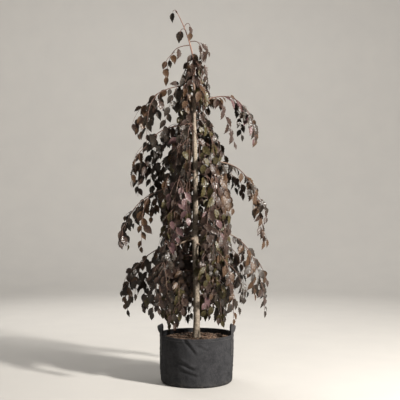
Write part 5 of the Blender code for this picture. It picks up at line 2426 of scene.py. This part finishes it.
@dataclass
class Compost:
    """The compost that fills the bag, and the bark mulch on it."""

    bag: GrowBag
    height: float = 0.300
    edge_drop: float = 0.008
    level_radius: float = 0.060
    rings: int = 26
    sides: int = 120
    wall_room: float = 0.0006
    lumps: tuple[tuple[float, float], ...] = ((14.0, 0.0035), (70.0, 0.0016))
    calm_radius: float = 0.03
    trunk_room: float = 0.036
    edge_room: float = 0.012
    small_at_edge: float = 0.35
    tilt: float = 0.28
    lay: tuple[float, float] = (0.0005, 0.0040)
    chip_length: tuple[float, float] = (0.010, 0.034)
    chip_breadth: tuple[float, float] = (0.25, 0.60)
    chip_depth: tuple[float, float] = (0.0016, 0.0040)
    chip_rows: tuple[float, ...] = (-0.5, -0.2, 0.2, 0.5)
    chips: int = 900

    def surface(self, x: float, y: float) -> float:
        """Height of the compost.

        Args:
            x: Metres to the right.
            y: Metres to the back.

        Returns:
            The height there.
        """
        distance = hypot(x, y)
        edge = self.bag.radius(self.height) - self.bag.wall
        fall = max(distance - self.level_radius, 0.0) / (edge - self.level_radius)
        rise = sum(noise.noise(Vector((x * scale, y * scale, 3.0 * index))) * size
                   for index, (scale, size) in enumerate(self.lumps))
        calm = min(max(distance - self.calm_radius, 0.0) / self.calm_radius, 1.0)
        return self.height - self.edge_drop * fall + rise * calm

    def body(self, material: Material) -> None:
        """Build the lumpy compost, extruded up from the bag's floor and inset ring by ring.

        Args:
            material: The compost.
        """
        inner = self.bag.wall + self.wall_room
        foot = (self.bag.foot_radius - self.bag.foot_round - GAP, self.bag.wall + GAP)
        obj = started("compost_bed", bpy.ops.mesh.primitive_circle_add, vertices=self.sides,
                      radius=foot[0], fill_type="NGON", location=(0.0, 0.0, foot[1]))
        top = self.height - self.edge_drop
        with editing(obj):
            last = extrude_rings(foot, ((self.bag.foot_radius - inner, self.bag.foot_round),
                                        (self.bag.radius(top) - inner, top)))
            for _ in range(self.rings):
                bpy.ops.mesh.inset(thickness=last / (self.rings + 1))
        points = points_of(obj)
        on_top = points[:, 2] > top - 0.001
        for index in np.nonzero(on_top)[0]:
            points[index, 2] = self.surface(points[index, 0], points[index, 1])
        move_points(obj, points)
        face_outwards(obj)
        smooth(obj, 50.0)
        dress(obj, material, ["compost"])

    def mulch(self, materials: Sequence[Material]) -> None:
        """Strew flat bark chips over the compost, shared out among some tones.

        Args:
            materials: The tones.
        """
        draw = random.Random("mulch")
        heaps: list[list[Shape]] = [[] for _ in materials]
        edge = self.bag.radius(self.height) - self.bag.wall - self.edge_room
        for _ in range(self.chips):
            distance = edge * sqrt(draw.uniform(0.02, 1.0))
            turn = draw.uniform(0.0, tau)
            x, y = distance * cos(turn), distance * sin(turn)
            if hypot(x - LIMBS.centre(0.3).x, y) < self.trunk_room:
                continue
            points, quads = self.chip(draw)
            size = min(1.0, self.small_at_edge + (edge - distance) / self.calm_radius)
            spin = draw.uniform(0.0, tau)
            tilt = Vector((draw.gauss(0.0, self.tilt), draw.gauss(0.0, self.tilt), 1.0))
            tilt.normalize()
            along = Vector((cos(spin), sin(spin), 0.0))
            along = (along - tilt * along.dot(tilt)).normalized()
            axes = np.array([along, tilt.cross(along), tilt])
            centre = (x, y, self.surface(x, y) + draw.uniform(*self.lay))
            heaps[draw.randrange(len(materials))].append(
                (points * size @ axes + np.array(centre), quads))
        for index, (heap, material) in enumerate(zip(heaps, materials)):
            dress(joined(f"mulch_{index + 1}", heap, 25.0), material)

    def chip(self, draw: random.Random) -> Shape:
        """One splintered bark chip, as a short four-cornered bar with ragged ends.

        Args:
            draw: The seeded source of chance.

        Returns:
            Its vertices and quads.
        """
        length = draw.uniform(*self.chip_length)
        width = length * draw.uniform(*self.chip_breadth)
        depth = draw.uniform(*self.chip_depth)
        points = []
        for along in self.chip_rows:
            ragged = 0.55 if abs(along) > 0.4 else 1.0
            for across, up in ((-0.5, -0.5), (0.5, -0.5), (0.5, 0.5), (-0.5, 0.5)):
                points.append((length * (along + draw.uniform(-0.05, 0.05)),
                               width * across * ragged * draw.uniform(0.8, 1.15),
                               depth * up * draw.uniform(0.7, 1.2)))
        return np.array(points), bar_quads(len(self.chip_rows))


@dataclass(frozen=True)
class SoftBox:
    """A soft studio lamp."""

    name: str
    place: Place
    aim: Place
    size: float
    power: float
    colour: Place

    def hang(self) -> None:
        """Hang the lamp."""
        lamp = bpy.data.lights.new(self.name, "AREA")
        lamp.shape = "SQUARE"
        lamp.size = self.size
        lamp.energy = self.power
        lamp.color = self.colour
        obj = bpy.data.objects.new(self.name, lamp)
        bpy.context.scene.collection.objects.link(obj)
        obj.location = self.place
        way = Vector(self.aim) - Vector(self.place)
        obj.rotation_euler = way.to_track_quat("-Z", "Y").to_euler()


@dataclass
class Studio:
    """A pale floor that runs up into a round wall, soft lamps, and the camera."""

    floor_radius: float = 9.0
    wall_height: float = 9.0
    sweep: float = 3.0
    camera_distance: float = 5.0
    camera_height: float = 1.13
    focal_pixels: float = 725.0
    image_pixels: float = 400.0
    middle_x: float = 196.6
    horizon_y: float = 216.7
    sensor: float = 36.0
    floor_dark: Colour = rgb(0.42, 0.41, 0.40)
    floor_light: Colour = rgb(0.46, 0.45, 0.43)
    floor_roughness: float = 0.85
    sky_colour: Colour = rgb(1.0, 0.97, 0.93)
    sky_strength: float = 0.07
    lamps: tuple[SoftBox, ...] = (
        SoftBox("key_lamp", (4.1, -3.0, 3.8), (0.0, 0.0, 1.2), 0.50, 980.0, (1.0, 0.95, 0.88)),
        SoftBox("fill_lamp", (-3.6, -3.6, 2.4), (0.0, 0.0, 1.1), 3.0, 4.0, (1.0, 0.95, 0.90)),
        SoftBox("back_lamp", (-2.4, 3.6, 3.8), (0.0, 0.0, 1.4), 2.4, 110.0, (1.0, 0.96, 0.90)),
        SoftBox("wall_lamp", (0.0, 3.0, 5.6), (0.0, 8.0, 1.2), 3.5, 230.0, (1.0, 0.98, 0.95)),
    )

    def floor(self) -> None:
        """Extrude the floor and the wall that it runs up into from a disc."""
        level_radius = self.floor_radius - self.sweep
        obj = started("studio_floor", bpy.ops.mesh.primitive_circle_add, vertices=96,
                      radius=level_radius, fill_type="NGON", location=(0.0, 0.0, 0.0))
        with editing(obj):
            extrude_rings((level_radius, 0.0), quarter_round(level_radius, self.sweep, 12)
                          + [(self.floor_radius, self.wall_height)])
            bpy.ops.mesh.delete(type="ONLY_FACE")
        smooth(obj, 60.0)
        paint = Paint("studio_floor")
        colour = paint.blend(paint.noise(paint.place, 3.0), self.floor_dark, self.floor_light)
        obj.data.materials.append(paint.finish(colour, self.floor_roughness))

    def camera(self) -> None:
        """Set the camera where the photograph was taken from, level and a little off axis."""
        data = bpy.data.cameras.new("portrait_camera")
        data.sensor_width = self.sensor
        data.lens = self.sensor * self.focal_pixels / self.image_pixels
        data.shift_x = (self.image_pixels / 2 - self.middle_x) / self.image_pixels
        data.shift_y = (self.horizon_y - self.image_pixels / 2) / self.image_pixels
        obj = bpy.data.objects.new("portrait_camera", data)
        bpy.context.scene.collection.objects.link(obj)
        obj.location = (0.0, -self.camera_distance, self.camera_height)
        obj.rotation_euler = (radians(90.0), 0.0, 0.0)
        bpy.context.scene.camera = obj

    def sky(self) -> None:
        """An even pale light from all round."""
        world = bpy.data.worlds.new("studio_sky")
        world.use_nodes = True
        background = world.node_tree.nodes["Background"]
        background.inputs["Color"].default_value = self.sky_colour
        background.inputs["Strength"].default_value = self.sky_strength
        bpy.context.scene.world = world

    def build(self) -> None:
        """Set up floor, camera, sky and lamps."""
        self.camera()
        self.floor()
        self.sky()
        for lamp in self.lamps:
            lamp.hang()
        bpy.context.scene.view_settings.view_transform = "Standard"


def main() -> None:
    """Build the studio, the bag, the wood and the foliage, in that order."""
    logging.basicConfig(level=logging.INFO, format="%(name)s: %(message)s")
    Studio().build()
    effects = EffectGroups()
    felt = FeltFinish().material(effects)
    webbing = WebbingFinish().material(effects)
    thread = ThreadFinish().material(effects)
    bag = GrowBag()
    bag.shell(felt)
    bag.hem(felt)
    bag.hem_stitches(thread)
    Handle(bag, "handle_strap_right", "handle_right", 1.0).build(webbing, thread)
    Handle(bag, "handle_strap_left", "handle_left", -1.0).build(webbing, thread)
    compost = Compost(bag)
    compost.body(COMPOST_FINISH.material(effects))
    compost.mulch([finish.material(effects) for finish in MULCH_FINISHES])
    wood = Woodwork()
    wood.trunk(TRUNK_BARK.material(effects))
    wood.boughs(BOUGH_BARK.material(effects))
    growth = Growth()
    growth.grow()
    foliage = Foliage(growth)
    foliage.fill()
    twig_bark = TWIG_BARK.material(effects)
    foliage.build_twigs(twig_bark)
    foliage.build_buds(twig_bark)
    for finish in LEAF_FINISHES:
        foliage.build_leaves(finish, effects)


if __name__ == "__main__":
    main()
